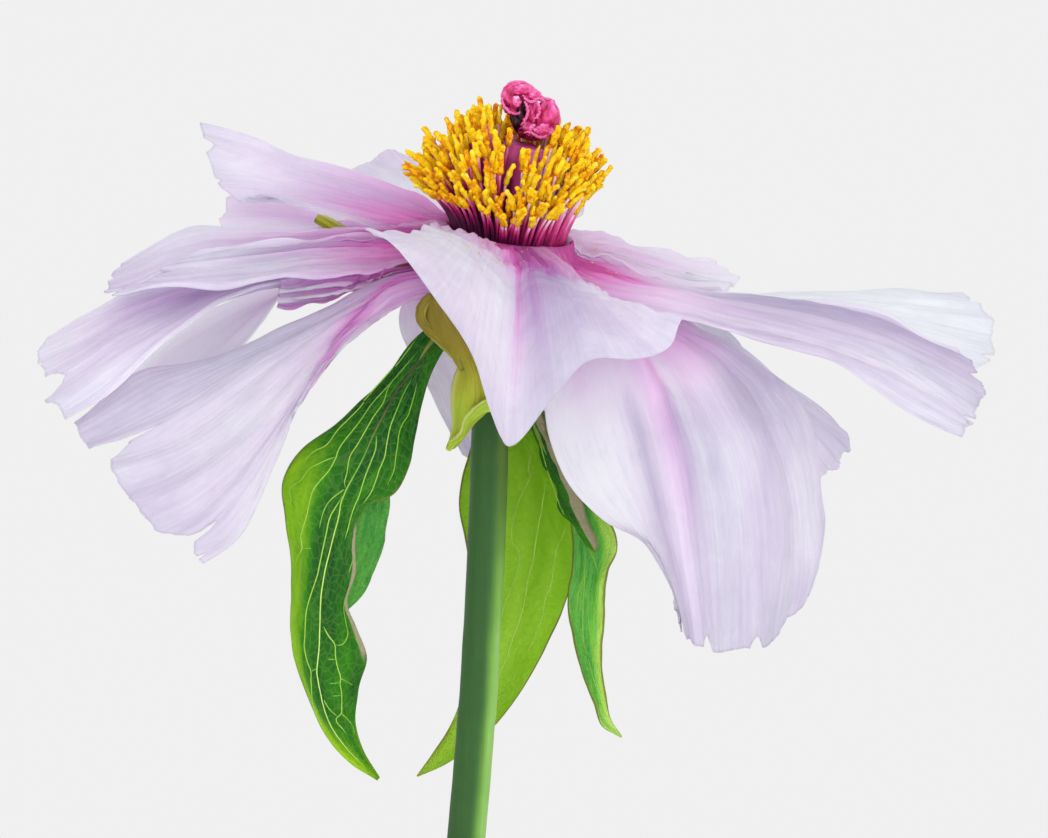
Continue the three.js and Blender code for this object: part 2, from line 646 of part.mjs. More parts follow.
function carpelRadius(t, angle) {
  const swell = 1 - 0.12 * t + 0.12 * Math.sin(Math.PI * t);
  return CARPEL_RADIUS * swell * (0.9 + 0.1 * Math.cos(5 * angle));
}

const carpelStops = [0, 0.15, 0.3, 0.5, 0.7, 0.85, 1];
add("carpels", "carpel", rod(carpelCurve, carpelStops, 20, carpelRadius));

// Each carpel ends in a stigma, a thick ruffled crest that rolls outwards over the carpel's tip.
const crestFrame = new THREE.Matrix4()
  .makeRotationFromEuler(new THREE.Euler(LEAN_FORWARD, LEAN_RIGHT, 0))
  .setPosition(carpelCurve.getPoint(1));

function makeCrest(i) {
  const azimuth = (i / CREST_COUNT) * 2 * Math.PI + 0.5;
  const steps = [0, 1, 2, 3, 4];
  const size = 0.85 + 0.3 * scatter(i + 40);
  const net = steps.map((row) =>
    steps.map((column) => {
      const roll = (row / 4) * 2.6;
      const angle = azimuth + (column / 4 - 0.5) * 1.5;
      const out = 0.8 + size * 3.6 * (1 - Math.cos(roll)) * 0.75;
      const up = 2.4 + size * 8 * Math.sin(roll);
      return new THREE.Vector3(out * Math.cos(angle), out * Math.sin(angle), up).applyMatrix4(crestFrame);
    }),
  );
  const ruffle = (u, v) => 0.8 * u * Math.sin(2 * Math.PI * (1.6 * v + 0.3 * i));
  return sheet(net, { rows: 5, columns: 4, thickness: CREST_THICKNESS, ruffle });
}

function makeStigmas() {
  const core = new THREE.CylinderGeometry(1.6, CARPEL_RADIUS * 0.7, 4.4, 8);
  core.rotateX(Math.PI / 2).translate(0, 0, 2.2 + GAP + 0.3).applyMatrix4(crestFrame);
  const crests = [];
  for (let i = 0; i < CREST_COUNT; i++) crests.push(makeCrest(i));
  return fused([core, ...crests]);
}

add("stigmas", "stigma", makeStigmas());

// ---- Vase and water ----

// The outside of the vase from foot to lip, as radius and height.
const VASE_OUTSIDE = [
  [VASE_FOOT_RADIUS - 1.5, 0],
  [VASE_FOOT_RADIUS, 1.5],
  [VASE_FOOT_RADIUS + 5.5, 14],
  [VASE_BODY_RADIUS - 1, 29],
  [VASE_BODY_RADIUS, VASE_BODY_HEIGHT],
  [VASE_BODY_RADIUS - 1.8, 57],
  [VASE_BODY_RADIUS - 7.5, 71],
  [VASE_BODY_RADIUS - 15.5, 84],
  [VASE_NECK_RADIUS + 3.4, 96],
  [VASE_NECK_RADIUS, VASE_NECK_HEIGHT],
  [VASE_NECK_RADIUS, lipLow],
  [VASE_LIP_RADIUS, VASE_HEIGHT - 1.2],
  [VASE_LIP_RADIUS - 1.2, VASE_HEIGHT],
];

// The inside is the outside set in by the wall, from the lip down to the floor.
const vaseInside = VASE_OUTSIDE.filter(([, height]) => height > VASE_FLOOR)
  .map(([radius, height]) => [radius - VASE_WALL, height])
  .reverse();
vaseInside.push([VASE_FOOT_RADIUS - VASE_WALL - 1, VASE_FLOOR]);

const VASE_SIDES = 24;
const vaseProfile = [[0, 0], ...VASE_OUTSIDE, ...vaseInside, [0, VASE_FLOOR]];
const vase = new THREE.LatheGeometry(vaseProfile.map(([x, y]) => new THREE.Vector2(x, y)), VASE_SIDES);
add("vase", "vase", vase.rotateX(Math.PI / 2));

// The water fills the vase up to its level, with a plain hole where the stem stands in it.
function makeWater() {
  const below = vaseInside.filter(([, height]) => height < WATER_LEVEL).reverse();
  const [top] = vaseInside.filter(([, height]) => height >= WATER_LEVEL).slice(-1);
  const wall = below.map(([radius, height]) => [radius - GAP, Math.max(height, VASE_FLOOR + GAP)]);
  const profile = [[0, VASE_FLOOR + GAP], ...wall, [top[0] - GAP, WATER_LEVEL], [0, WATER_LEVEL]];
  const body = new THREE.LatheGeometry(profile.map(([x, y]) => new THREE.Vector2(x, y)), VASE_SIDES);
  body.rotateX(Math.PI / 2);
  const straight = new THREE.LineCurve3(
    stemFoot.clone().lerp(stemAtLip, -0.1),
    stemFoot.clone().lerp(stemAtLip, 1),
  );
  const hole = rod(straight, [0, 1], 20, () => STEM_FOOT_RADIUS + GAP);
  return fromManifold(toManifold(body).subtract(toManifold(hole)));
}

add("water", "water", makeWater());

export default flower;
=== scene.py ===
import math
import bmesh
import bpy
from mathutils import Matrix, Vector, noise
from mathutils.bvhtree import BVHTree


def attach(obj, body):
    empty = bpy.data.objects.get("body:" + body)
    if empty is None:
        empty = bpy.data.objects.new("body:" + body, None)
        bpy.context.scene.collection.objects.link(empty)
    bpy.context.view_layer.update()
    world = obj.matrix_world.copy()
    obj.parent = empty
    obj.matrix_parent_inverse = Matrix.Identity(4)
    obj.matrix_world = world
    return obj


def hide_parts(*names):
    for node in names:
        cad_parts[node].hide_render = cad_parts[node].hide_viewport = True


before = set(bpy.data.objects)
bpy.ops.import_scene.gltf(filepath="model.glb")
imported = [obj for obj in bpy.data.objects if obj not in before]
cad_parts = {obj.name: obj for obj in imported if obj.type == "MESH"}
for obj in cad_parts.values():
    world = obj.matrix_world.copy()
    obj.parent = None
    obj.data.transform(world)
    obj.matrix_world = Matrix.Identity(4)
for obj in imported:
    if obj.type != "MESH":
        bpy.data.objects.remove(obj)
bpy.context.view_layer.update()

# A tree peony in a bud vase, dressed over the imported model. The petals, sepals and leaves follow the
# same points as the model's source: [right, up, back] in mm from the middle of the bloom,
# as someone sees them who faces the bloom and looks slightly down on it. Rows run from a sheet's
# root to its tip, and each row runs anticlockwise as seen from above the bloom.

MM = 0.001
GAP = 0.3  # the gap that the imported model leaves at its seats, in mm

BLOOM_RIGHT = 12.3
BLOOM_HEIGHT = 257.0
VIEW_DOWN = math.radians(5.74)
VIEW_DISTANCE = 1164.0
VIEW_RIGHT = 3.2
VIEW_UP = -35.2
FRAME_WIDTH = 209.6  # what the photograph's frame spans at the bloom, in mm
LEAN_FORWARD = math.radians(7)
LEAN_RIGHT = math.radians(8)
RING_SPACING = 2.0
PETAL_ROOT_HALF_ANGLE = math.radians(22)
SEPAL_ROOT_HALF_ANGLE = math.radians(16)
SEPAL_ROOT_HEIGHT = -9.2
STEM_RADIUS = 3.7
STEM_FOOT_RADIUS = 3.9
RECEPTACLE_RADIUS = 12.0
RECEPTACLE_STEP = 9.0
VASE_HEIGHT = 133.0
VASE_FOOT_RADIUS = 27.0
VASE_BODY_RADIUS = 37.0
VASE_BODY_HEIGHT = 44.0
VASE_NECK_RADIUS = 10.2
VASE_NECK_HEIGHT = 110.0
VASE_LIP_RADIUS = 12.8
VASE_LIP_HEIGHT = 8.0
VASE_WALL = 3.2
VASE_FLOOR = 6.0


# ---- Places, all in metres ----

def seen(point):
    """The place of a traced point, with the perspective of the photograph taken out."""
    right, up, back = point
    shrink = 1 + back / VIEW_DISTANCE
    across = VIEW_RIGHT + (right - VIEW_RIGHT) * shrink
    rise = VIEW_UP + (up - VIEW_UP) * shrink
    height = (rise - back * math.sin(VIEW_DOWN)) / math.cos(VIEW_DOWN)
    return Vector((BLOOM_RIGHT + across, back, BLOOM_HEIGHT + height)) * MM


BLOOM_FRAME = (
    Matrix.Translation(Vector((BLOOM_RIGHT, 0, BLOOM_HEIGHT)) * MM)
    @ Matrix.Rotation(LEAN_FORWARD, 4, "X")
    @ Matrix.Rotation(LEAN_RIGHT, 4, "Y")
)


def on_bloom(radius, azimuth, height):
    """A point of the leaning bloom, by radius and height in mm and azimuth in radians."""
    local = Vector((radius * math.cos(azimuth), radius * math.sin(azimuth), height)) * MM
    return BLOOM_FRAME @ local


def smooth(low, high, x):
    t = min(max((x - low) / (high - low), 0.0), 1.0)
    return t * t * (3 - 2 * t)


def between(pairs, x):
    """The value at x of straight lines through (x, value) pairs."""
    for (left, first), (right, second) in zip(pairs, pairs[1:]):
        if x <= right:
            return first + (second - first) * max(x - left, 0) / (right - left)
    return pairs[-1][1]


def grain(x, y, seed=0.0):
    """Smooth noise from -1 to 1."""
    return noise.noise(Vector((x, y, seed)))


def scatter(k):
    """A number from 0 to 1 that looks random, the same each time for the same k."""
    x = math.sin(k * 127.1 + 11.7) * 43758.5453
    return x - math.floor(x)


# ---- Curves and meshes ----

LINE_SAMPLES = 60
TANGENT_STEP = 0.002
SEAM_WIDTH = 1e-6  # corners that are closer than this, in metres, are one corner


def spread(points, count):
    """Places at even shares of a smooth curve's length, from its first point to its last."""
    samples = [spline(points, k / LINE_SAMPLES) for k in range(LINE_SAMPLES + 1)]
    reached = [0.0]
    for a, b in zip(samples, samples[1:]):
        reached.append(reached[-1] + (b - a).length)
    places, k = [], 0
    for n in range(count + 1):
        goal = reached[-1] * n / count
        while k < LINE_SAMPLES - 1 and reached[k + 1] < goal:
            k += 1
        share = (goal - reached[k]) / max(reached[k + 1] - reached[k], 1e-9)
        places.append(samples[k].lerp(samples[k + 1], min(share, 1.0)))
    return places


def spline(points, t):
    """A smooth curve through the points, at t from 0 to 1."""
    last = len(points) - 1
    place = min(max(t, 0.0), 1.0) * last
    i = min(int(place), last - 1)
    w = place - i
    a, b = points[i], points[i + 1]
    before = points[i - 1] if i > 0 else a * 2 - b
    after = points[i + 2] if i + 2 <= last else b * 2 - a
    lead, trail = (b - before) * 0.5, (after - a) * 0.5
    return (
        a + lead * w
        + (a * -3 + b * 3 - lead * 2 - trail) * (w * w)
        + (a * 2 - b * 2 + lead + trail) * (w * w * w)
    )


def net_rows(lines, stations):
    """Rows of places across a sheet, at even shares of its traced lines."""
    spaced = [spread([seen(point) for point in line], stations) for line in lines]
    return [list(row) for row in zip(*spaced)]


def make_piece(name, bm, materials, nodes=()):
    """Turns a bmesh into a finished piece that rides with the part."""
    mesh = bpy.data.meshes.new(name)
    for face in bm.faces:
        face.smooth = True
    bm.to_mesh(mesh)
    bm.free()
    piece = bpy.data.objects.new(name, mesh)
    bpy.context.scene.collection.objects.link(piece)
    for material in materials:
        mesh.materials.append(material)
    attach(piece, "root")
    if nodes:
        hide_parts(*nodes)
    return piece


def new_mesh(*layers):
    """An empty bmesh with a UV map, and the named numbers that its materials read."""
    bm = bmesh.new()
    bm.loops.layers.uv.new("UVMap")
    for layer in layers:
        bm.verts.layers.float.new(layer)
    return bm


def add_sheet(bm, net, rows, columns, reach=lambda v: 1.0, lift=lambda u, v: 0.0, paint=None):
    """Lays a grid through the net. u runs from root to tip and v across.

    reach(v) cuts the tip's outline, lift(u, v) raises the sheet by mm along its normal, and
    paint maps a layer's name to its value at (u, v).
    """
    made = bmesh.ops.create_grid(
        bm, x_segments=columns, y_segments=rows, size=0.5, calc_uvs=True
    )["verts"]
    faces = list({face for vert in made for face in vert.link_faces})
    bmesh.ops.reverse_faces(bm, faces=faces)
    places = {}
    for vert in made:
        v, u = vert.co.x + 0.5, vert.co.y + 0.5
        places[vert] = (u, v)
        along = u * reach(v)
        vert.co = spline([spline([row[k] for row in net], along) for k in range(len(net[0]))], v)
    for face in faces:
        face.normal_update()
    for vert in made:
        vert.normal_update()
    moved = {vert: vert.co + vert.normal * (lift(*places[vert]) * MM) for vert in made}
    for vert, place in moved.items():
        vert.co = place
    for name, value in (paint or {}).items():
        layer = bm.verts.layers.float[name]
        for vert in made:
            vert[layer] = value(*places[vert])


def add_rod(bm, line, stops, sides, radius_at, twist=0.0, paint=None):
    """Adds a round rod along line(t), with a ring of corners at each stop. Radii are in mm."""
    rings = len(stops) - 1
    made = bmesh.ops.create_grid(
        bm, x_segments=sides, y_segments=rings, size=0.5, calc_uvs=True
    )["verts"]
    frames = []
    for t in stops:
        ahead, behind = line(min(t + TANGENT_STEP, 1)), line(max(t - TANGENT_STEP, 0))
        tangent = (ahead - behind).normalized()
        side = Vector((0, 1, 0)).cross(tangent).normalized()
        frames.append((line(t), side, tangent.cross(side)))
    for vert in made:
        ring = round((vert.co.y + 0.5) * rings)
        turn = (vert.co.x + 0.5) * 2 * math.pi
        centre, side, over = frames[ring]
        reach = radius_at(stops[ring], turn) * MM
        angle = turn + twist * stops[ring]
        vert.co = centre + side * (reach * math.cos(angle)) + over * (reach * math.sin(angle))
        for name, value in (paint or {}).items():
            vert[bm.verts.layers.float[name]] = value(stops[ring], turn)


def closed_stops(count):
    """Even stops along a rod, with one more beside each end to close it flat."""
    return [0.0, 0.0001] + [k / count for k in range(1, count)] + [0.9999, 1.0]


def close_seams(bm):
    bmesh.ops.remove_doubles(bm, verts=bm.verts[:], dist=SEAM_WIDTH)


def thicken(piece, thickness, underside=0):
    """Gives a sheet its thickness in mm. underside is the number of the finish below it."""
    wall = piece.modifiers.new("thickness", "SOLIDIFY")
    wall.thickness = thickness * MM
    wall.offset = 0
    wall.use_rim = True
    wall.material_offset = underside


def spin_profile(bm, profile, steps):
    """Turns a profile of (radius, height) in mm about the vertical axis."""
    verts = [bm.verts.new((radius * MM, 0, height * MM)) for radius, height in profile]
    edges = [bm.edges.new(pair) for pair in zip(verts, verts[1:])]
    bmesh.ops.spin(
        bm, geom=verts + edges, cent=(0, 0, 0), axis=(0, 0, 1), dvec=(0, 0, 0),
        angle=2 * math.pi, steps=steps, use_merge=True, use_duplicate=False,
    )
    close_seams(bm)
    bmesh.ops.recalc_face_normals(bm, faces=bm.faces[:])


# ---- Materials ----

def srgb(code):
    """An sRGB hex colour as linear red, green, blue and 1."""
    channels = [int(code[i:i + 2], 16) / 255 for i in (0, 2, 4)]
    linear = [c / 12.92 if c <= 0.04045 else ((c + 0.055) / 1.055) ** 2.4 for c in channels]
    return (*linear, 1.0)


def node(tree, kind, parts=None):
    """Adds a shader node. Each part is a property, or a socket by its name or number, with its
    value or with the node or output that feeds it."""
    made = tree.nodes.new("ShaderNode" + kind)
    for key, part in (parts or {}).items():
        if isinstance(part, (bpy.types.Node, bpy.types.NodeSocket)):
            source = part.outputs[0] if isinstance(part, bpy.types.Node) else part
            tree.links.new(source, made.inputs[key])
        elif key == "stops":
            ramp = made.color_ramp
            while len(ramp.elements) > 1:
                ramp.elements.remove(ramp.elements[-1])
            for n, (position, colour) in enumerate(part):
                element = ramp.elements[0] if n == 0 else ramp.elements.new(position)
                element.position = position
                element.color = srgb(colour)
        elif isinstance(key, str) and hasattr(made, key):
            setattr(made, key, part)
        else:
            made.inputs[key].default_value = part
    return made


def new_material(name):
    material = bpy.data.materials.new(name)
    material.use_nodes = True
    material.node_tree.nodes.clear()
    return material, material.node_tree


def finish_opaque(tree, parts):
    node(tree, "OutputMaterial", {"Surface": node(tree, "BsdfPrincipled", parts)})


def finish_thin(tree, colour, bump, roughness, specular, light_through):
    """Thin tissue: a skin over a body that lets light_through, a share, of the light through."""
    skin = node(tree, "BsdfPrincipled", {
        "Base Color": colour, "Normal": bump, "Roughness": roughness, "Specular IOR Level": specular,
    })
    glow = node(tree, "BsdfTranslucent", {"Color": colour, "Normal": bump})
    both = node(tree, "MixShader", {0: light_through, 1: skin, 2: glow})
    node(tree, "OutputMaterial", {"Surface": both})


def petal_tissue():
    """Peony petal: thin living tissue, matte and slightly silky, that lets over half of the light
    through. Pink at the root, fading to a lavender white, with fine veins 0.5 mm apart."""
    material, tree = new_material("petal_tissue")
    uv = node(tree, "UVMap", {"uv_map": "UVMap"})
    blush = node(tree, "Attribute", {"attribute_name": "blush"}).outputs["Fac"]
    shade = node(tree, "Attribute", {"attribute_name": "shade"}).outputs["Fac"]
    # 45 mm across by 85 mm along: 90 veins across, each running most of the petal's length
    lengthwise = node(tree, "Mapping", {"Vector": uv, "Scale": (90.0, 2.6, 1.0)})
    veins = node(tree, "TexNoise", {"Vector": lengthwise, "Scale": 1.0, "Detail": 4.0, "Roughness": 0.6})
    broad = node(tree, "Mapping", {"Vector": uv, "Scale": (13.0, 1.6, 1.0)})
    flames = node(tree, "TexNoise", {"Vector": broad, "Scale": 1.0, "Detail": 3.0})
    # the pink swings by a third along the veins and the broader flames
    swing = node(tree, "Math", {"operation": "MULTIPLY_ADD", 0: veins, 1: 0.9, 2: 0.1})
    flamed = node(tree, "Math", {"operation": "MULTIPLY_ADD", 0: flames, 1: 0.9, 2: swing})
    pink = node(tree, "Math", {"operation": "MULTIPLY", "use_clamp": True, 0: blush, 1: flamed})
    colour = node(tree, "ValToRGB", {0: pink, "stops": [
        (0.0, "F9FBFE"), (0.2, "F8EBFB"), (0.42, "F7DAF6"), (0.65, "F6BCEE"),
        (0.85, "F49AE0"), (1.0, "EA7ACE"),
    ]})
    # soft crushed patches 3 mm across and 8 mm long, which raise the bump and grey the colour as painted
    # shade of the crumpled tissue
    crushed = node(tree, "Mapping", {"Vector": uv, "Scale": (14.0, 11.0, 1.0)})
    patches = node(tree, "TexNoise", {
        "Vector": crushed, "Scale": 1.0, "Detail": 7.0, "Roughness": 0.7, "Distortion": 0.6,
    })
    # The lavender-grey over the colour comes from the fine veins, from the crushed patches as painted shade,
    # and from the shade attribute, which holds painted shade and painted light.
    veined = node(tree, "Math", {"operation": "MULTIPLY_ADD", 0: veins, 1: 0.45, 2: shade})
    grey = node(tree, "Math", {"operation": "MULTIPLY_ADD", "use_clamp": True, 0: patches, 1: 0.5, 2: veined})
    tissue = node(tree, "Mix", {
        "data_type": "RGBA", "blend_type": "MULTIPLY", 0: grey, 6: colour, 7: srgb("CAC3DA"),
    }).outputs[2]
    relief = node(tree, "Math", {"operation": "MULTIPLY_ADD", 0: patches, 1: 2.0, 2: veins})
    bump = node(tree, "Bump", {"Height": relief, "Strength": 0.35, "Distance": 0.0004})
    finish_thin(tree, tissue, bump, roughness=0.62, specular=0.2, light_through=0.58)
    return material


def leaf_blade(name, deep, mid, bright, roughness, light_through):
    """Leaf blade: a waxy green skin with darker and lighter patches, a fine net of veins with cells
    about 1.8 mm wide, and a thin brown edge. Some light comes through."""
    material, tree = new_material(name)
    uv = node(tree, "UVMap", {"uv_map": "UVMap"})
    tone = node(tree, "Attribute", {"attribute_name": "shade"}).outputs["Fac"]
    turned = node(tree, "Attribute", {"attribute_name": "rim"}).outputs["Fac"]
    patches = node(tree, "TexNoise", {"Vector": uv, "Scale": 7.0, "Detail": 6.0, "Roughness": 0.6})
    depth = node(tree, "Math", {
        "operation": "MULTIPLY_ADD", "use_clamp": True, 0: patches, 1: 0.8, 2: tone,
    })
    green = node(tree, "ValToRGB", {0: depth, "stops": [(0.05, deep), (0.45, mid), (0.95, bright)]})
    cells = node(tree, "Mapping", {"Vector": uv, "Scale": (11.0, 58.0, 1.0)})
    net = node(tree, "TexVoronoi", {"feature": "DISTANCE_TO_EDGE", "Vector": cells, "Scale": 1.0})
    fine = node(tree, "MapRange", {0: net, 1: 0.0, 2: 0.11, 3: 0.1, 4: 0.0})
    veined = node(tree, "Mix", {"data_type": "RGBA", 0: fine, 6: green, 7: srgb("B4D86A")}).outputs[2]
    across = node(tree, "SeparateXYZ", {0: uv})
    inwards = node(tree, "Math", {"operation": "PINGPONG", 0: across, 1: 0.5})
    margin = node(tree, "MapRange", {0: inwards, 1: 0.004, 2: 0.014, 3: 0.8, 4: 0.0})
    edged = node(tree, "Mix", {"data_type": "RGBA", 0: margin, 6: veined, 7: srgb("8E7A4C")}).outputs[2]
    tanned = node(tree, "Mix", {"data_type": "RGBA", 0: turned, 6: edged, 7: srgb("B9AC90")}).outputs[2]
    pucker = node(tree, "Math", {"operation": "MULTIPLY_ADD", 0: net, 1: 1.4, 2: patches})
    bump = node(tree, "Bump", {"Height": pucker, "Strength": 0.6, "Distance": 0.0006})
    finish_thin(tree, tanned, bump, roughness, specular=0.14, light_through=light_through)
    return material


def leaf_vein():
    """Leaf veins: raised waxy cords, brown-purple by the stalk and pale yellow-green further out."""
    material, tree = new_material("leaf_vein")
    place = node(tree, "TexCoord").outputs["Object"]
    tone = node(tree, "Attribute", {"attribute_name": "shade"}).outputs["Fac"]
    mottle = node(tree, "TexNoise", {"Vector": place, "Scale": 500.0, "Detail": 3.0})
    mixed = node(tree, "Math", {"operation": "MULTIPLY_ADD", "use_clamp": True, 0: mottle, 1: 0.3, 2: tone})
    colour = node(tree, "ValToRGB", {0: mixed, "stops": [
        (0.05, "5C443C"), (0.22, "7F7C34"), (0.4, "5EA032"), (0.62, "8FC43A"),
        (0.85, "BCE066"), (1.0, "D6EE90"),
    ]})
    finish_opaque(tree, {"Base Color": colour, "Roughness": 0.5, "Specular IOR Level": 0.3})
    return material


def sepal_tissue():
    """Sepal: thick, leathery olive tissue, lime towards its tip, with faint lengthwise veins 0.6 mm
    apart and a paler curled rim."""
    material, tree = new_material("sepal_tissue")
    uv = node(tree, "UVMap", {"uv_map": "UVMap"})
    tone = node(tree, "Attribute", {"attribute_name": "shade"}).outputs["Fac"]
    pale = node(tree, "Attribute", {"attribute_name": "rim"}).outputs["Fac"]
    lines = node(tree, "Mapping", {"Vector": uv, "Scale": (26.0, 2.0, 1.0)})
    veins = node(tree, "TexNoise", {"Vector": lines, "Scale": 1.0, "Detail": 3.0})
    mottle = node(tree, "TexNoise", {"Vector": uv, "Scale": 9.0, "Detail": 5.0})
    streaked = node(tree, "Math", {"operation": "MULTIPLY_ADD", 0: veins, 1: 0.3, 2: tone})
    place = node(tree, "Math", {
        "operation": "MULTIPLY_ADD", "use_clamp": True, 0: mottle, 1: 0.3, 2: streaked,
    })
    colour = node(tree, "ValToRGB", {0: place, "stops": [
        (0.0, "7A6A1E"), (0.3, "968624"), (0.6, "A8AC2C"), (0.85, "B2D440"), (1.0, "C0E454"),
    ]})
    rimmed = node(tree, "Mix", {"data_type": "RGBA", 0: pale, 6: colour, 7: srgb("CDCB84")}).outputs[2]
    bump = node(tree, "Bump", {"Height": veins, "Strength": 0.4, "Distance": 0.0004})
    finish_thin(tree, rimmed, bump, roughness=0.55, specular=0.3, light_through=0.15)
    return material


def stem_skin():
    """Green stem: smooth waxy skin with painted light, paler on its right side towards the lights and
    darker on its left, with faint lengthwise streaks 1 mm wide, and browner at the top."""
    material, tree = new_material("stem_skin")
    place = node(tree, "TexCoord").outputs["Object"]
    # painted light: the attribute read here makes the stem paler on its right side, towards the lights, and
    # darker on its left
    painted_lit_side = node(tree, "Attribute", {"attribute_name": "painted_lit_side"}).outputs["Fac"]
    stretch = node(tree, "Mapping", {"Vector": place, "Scale": (900.0, 900.0, 18.0)})
    streaks = node(tree, "TexNoise", {"Vector": stretch, "Scale": 1.0, "Detail": 3.0})
    blotch = node(tree, "TexNoise", {"Vector": place, "Scale": 160.0, "Detail": 4.0})
    streaked = node(tree, "Math", {"operation": "MULTIPLY_ADD", 0: streaks, 1: 0.2, 2: painted_lit_side})
    tone = node(tree, "Math", {
        "operation": "MULTIPLY_ADD", "use_clamp": True, 0: blotch, 1: 0.2, 2: streaked,
    })
    green = node(tree, "ValToRGB", {0: tone, "stops": [
        (0.1, "345A2C"), (0.3, "3E6A34"), (0.6, "5E8A3C"), (0.85, "7CAE4E"), (1.0, "96C46C"),
    ]})
    # near the top, below the receptacle, the painted lit side turns olive-brown
    height = node(tree, "SeparateXYZ", {0: place}).outputs[2]
    top = node(tree, "MapRange", {0: height, 1: 0.195, 2: 0.225, 3: 0.0, 4: 0.9})
    brown = node(tree, "Math", {"operation": "MULTIPLY", "use_clamp": True, 0: top, 1: painted_lit_side})
    skin = node(tree, "Mix", {"data_type": "RGBA", 0: brown, 6: green, 7: srgb("787838")}).outputs[2]
    bump = node(tree, "Bump", {"Height": streaks, "Strength": 0.15, "Distance": 0.0003})
    finish_opaque(tree, {"Base Color": skin, "Normal": bump, "Roughness": 0.5, "Specular IOR Level": 0.15})
    return material


def filament_tissue():
    """Filaments: moist magenta threads, almost black-purple at the root and pale pink at the top."""
    material, tree = new_material("filament_tissue")
    along = node(tree, "Attribute", {"attribute_name": "along"}).outputs["Fac"]
    # the tint read here is painted light: filaments on the right of the ring are lighter and those on the
    # left darker, with a random tone as well
    tint = node(tree, "Attribute", {"attribute_name": "tint"}).outputs["Fac"]
    place = node(tree, "TexCoord").outputs["Object"]
    mottle = node(tree, "TexNoise", {"Vector": place, "Scale": 700.0, "Detail": 2.0})
    mottled = node(tree, "Math", {"operation": "MULTIPLY_ADD", 0: mottle, 1: 0.3, 2: along})
    tone = node(tree, "Math", {"operation": "ADD", 0: mottled, 1: tint})
    colour = node(tree, "ValToRGB", {0: tone, "stops": [
        (0.0, "400A30"), (0.22, "7C104C"), (0.42, "B8266E"), (0.62, "DC5E9C"),
        (0.82, "EEA6CA"), (1.0, "F8DAE8"),
    ]})
    finish_opaque(tree, {"Base Color": colour, "Roughness": 0.42, "Specular IOR Level": 0.4})
    return material


def anther_pollen():
    """Anthers: loaded with yellow pollen, so matte and grainy, orange in patches and as painted
    shade towards each anther's base, with brown flecks where the sac shows. The grain is drawn at 0.25 mm so
    that it shows."""
    material, tree = new_material("anther_pollen")
    place = node(tree, "TexCoord").outputs["Object"]
    tint = node(tree, "Attribute", {"attribute_name": "tint"}).outputs["Fac"]
    patch = node(tree, "TexNoise", {"Vector": place, "Scale": 900.0, "Detail": 3.0})
    fleck = node(tree, "TexNoise", {"Vector": place, "Scale": 2600.0, "Detail": 1.0})
    pollen = node(tree, "TexNoise", {"Vector": place, "Scale": 4200.0, "Detail": 2.0})
    tone = node(tree, "Math", {"operation": "MULTIPLY_ADD", 0: patch, 1: 1.5, 2: tint})
    colour = node(tree, "ValToRGB", {0: tone, "stops": [
        (0.3, "D8780A"), (0.45, "F2A608"), (0.6, "FDCE08"), (0.8, "FFE020"), (1.0, "FFEE60"),
    ]})
    dark = node(tree, "MapRange", {0: fleck, 1: 0.66, 2: 0.76, 3: 0.0, 4: 0.6})
    flecked = node(tree, "Mix", {"data_type": "RGBA", 0: dark, 6: colour, 7: srgb("8A5A10")}).outputs[2]
    bump = node(tree, "Bump", {"Height": pollen, "Strength": 0.8, "Distance": 0.0003})
    finish_opaque(tree, {"Base Color": flecked, "Normal": bump, "Roughness": 0.8, "Specular IOR Level": 0.2})
    return material


def carpel_skin():
    """Carpels: firm magenta skin with a dull bloom and lengthwise streaks 1.5 mm wide."""
    material, tree = new_material("carpel_skin")
    place = node(tree, "TexCoord").outputs["Object"]
    # the tint read here holds painted light on the lit side and painted shade in the grooves
    tint = node(tree, "Attribute", {"attribute_name": "tint"}).outputs["Fac"]
    stretch = node(tree, "Mapping", {"Vector": place, "Scale": (700.0, 700.0, 60.0)})
    streak = node(tree, "TexNoise", {"Vector": stretch, "Scale": 1.0, "Detail": 3.0})
    tone = node(tree, "Math", {"operation": "MULTIPLY_ADD", "use_clamp": True, 0: streak, 1: 0.6, 2: tint})
    colour = node(tree, "ValToRGB", {0: tone, "stops": [
        (0.15, "5E1040"), (0.45, "9A1E68"), (0.7, "BE3E8E"), (1.0, "D26CB0"),
    ]})
    bump = node(tree, "Bump", {"Height": streak, "Strength": 0.4, "Distance": 0.0004})
    finish_opaque(tree, {"Base Color": colour, "Normal": bump, "Roughness": 0.45})
    return material


def stigma_tissue():
    """Stigmas: moist, fleshy crimson-pink crests with paler rims, painted light on their upper sides and
    painted shade in their creases and in the hollow between them.
    """
    material, tree = new_material("stigma_tissue")
    place = node(tree, "TexCoord").outputs["Object"]
    rim = node(tree, "Attribute", {"attribute_name": "rim"}).outputs["Fac"]
    lumps = node(tree, "TexNoise", {"Vector": place, "Scale": 700.0, "Detail": 4.0})
    tone = node(tree, "Math", {"operation": "MULTIPLY_ADD", "use_clamp": True, 0: lumps, 1: 0.35, 2: rim})
    colour = node(tree, "ValToRGB", {0: tone, "stops": [
        (0.05, "2E0820"), (0.25, "84163E"), (0.48, "BE2460"), (0.7, "E04690"),
        (0.88, "EE7CBC"), (1.0, "F8C0DE"),
    ]})
    bump = node(tree, "Bump", {"Height": lumps, "Strength": 0.5, "Distance": 0.0004})
    finish_opaque(tree, {"Base Color": colour, "Normal": bump, "Roughness": 0.38, "Specular IOR Level": 0.45})
    return material


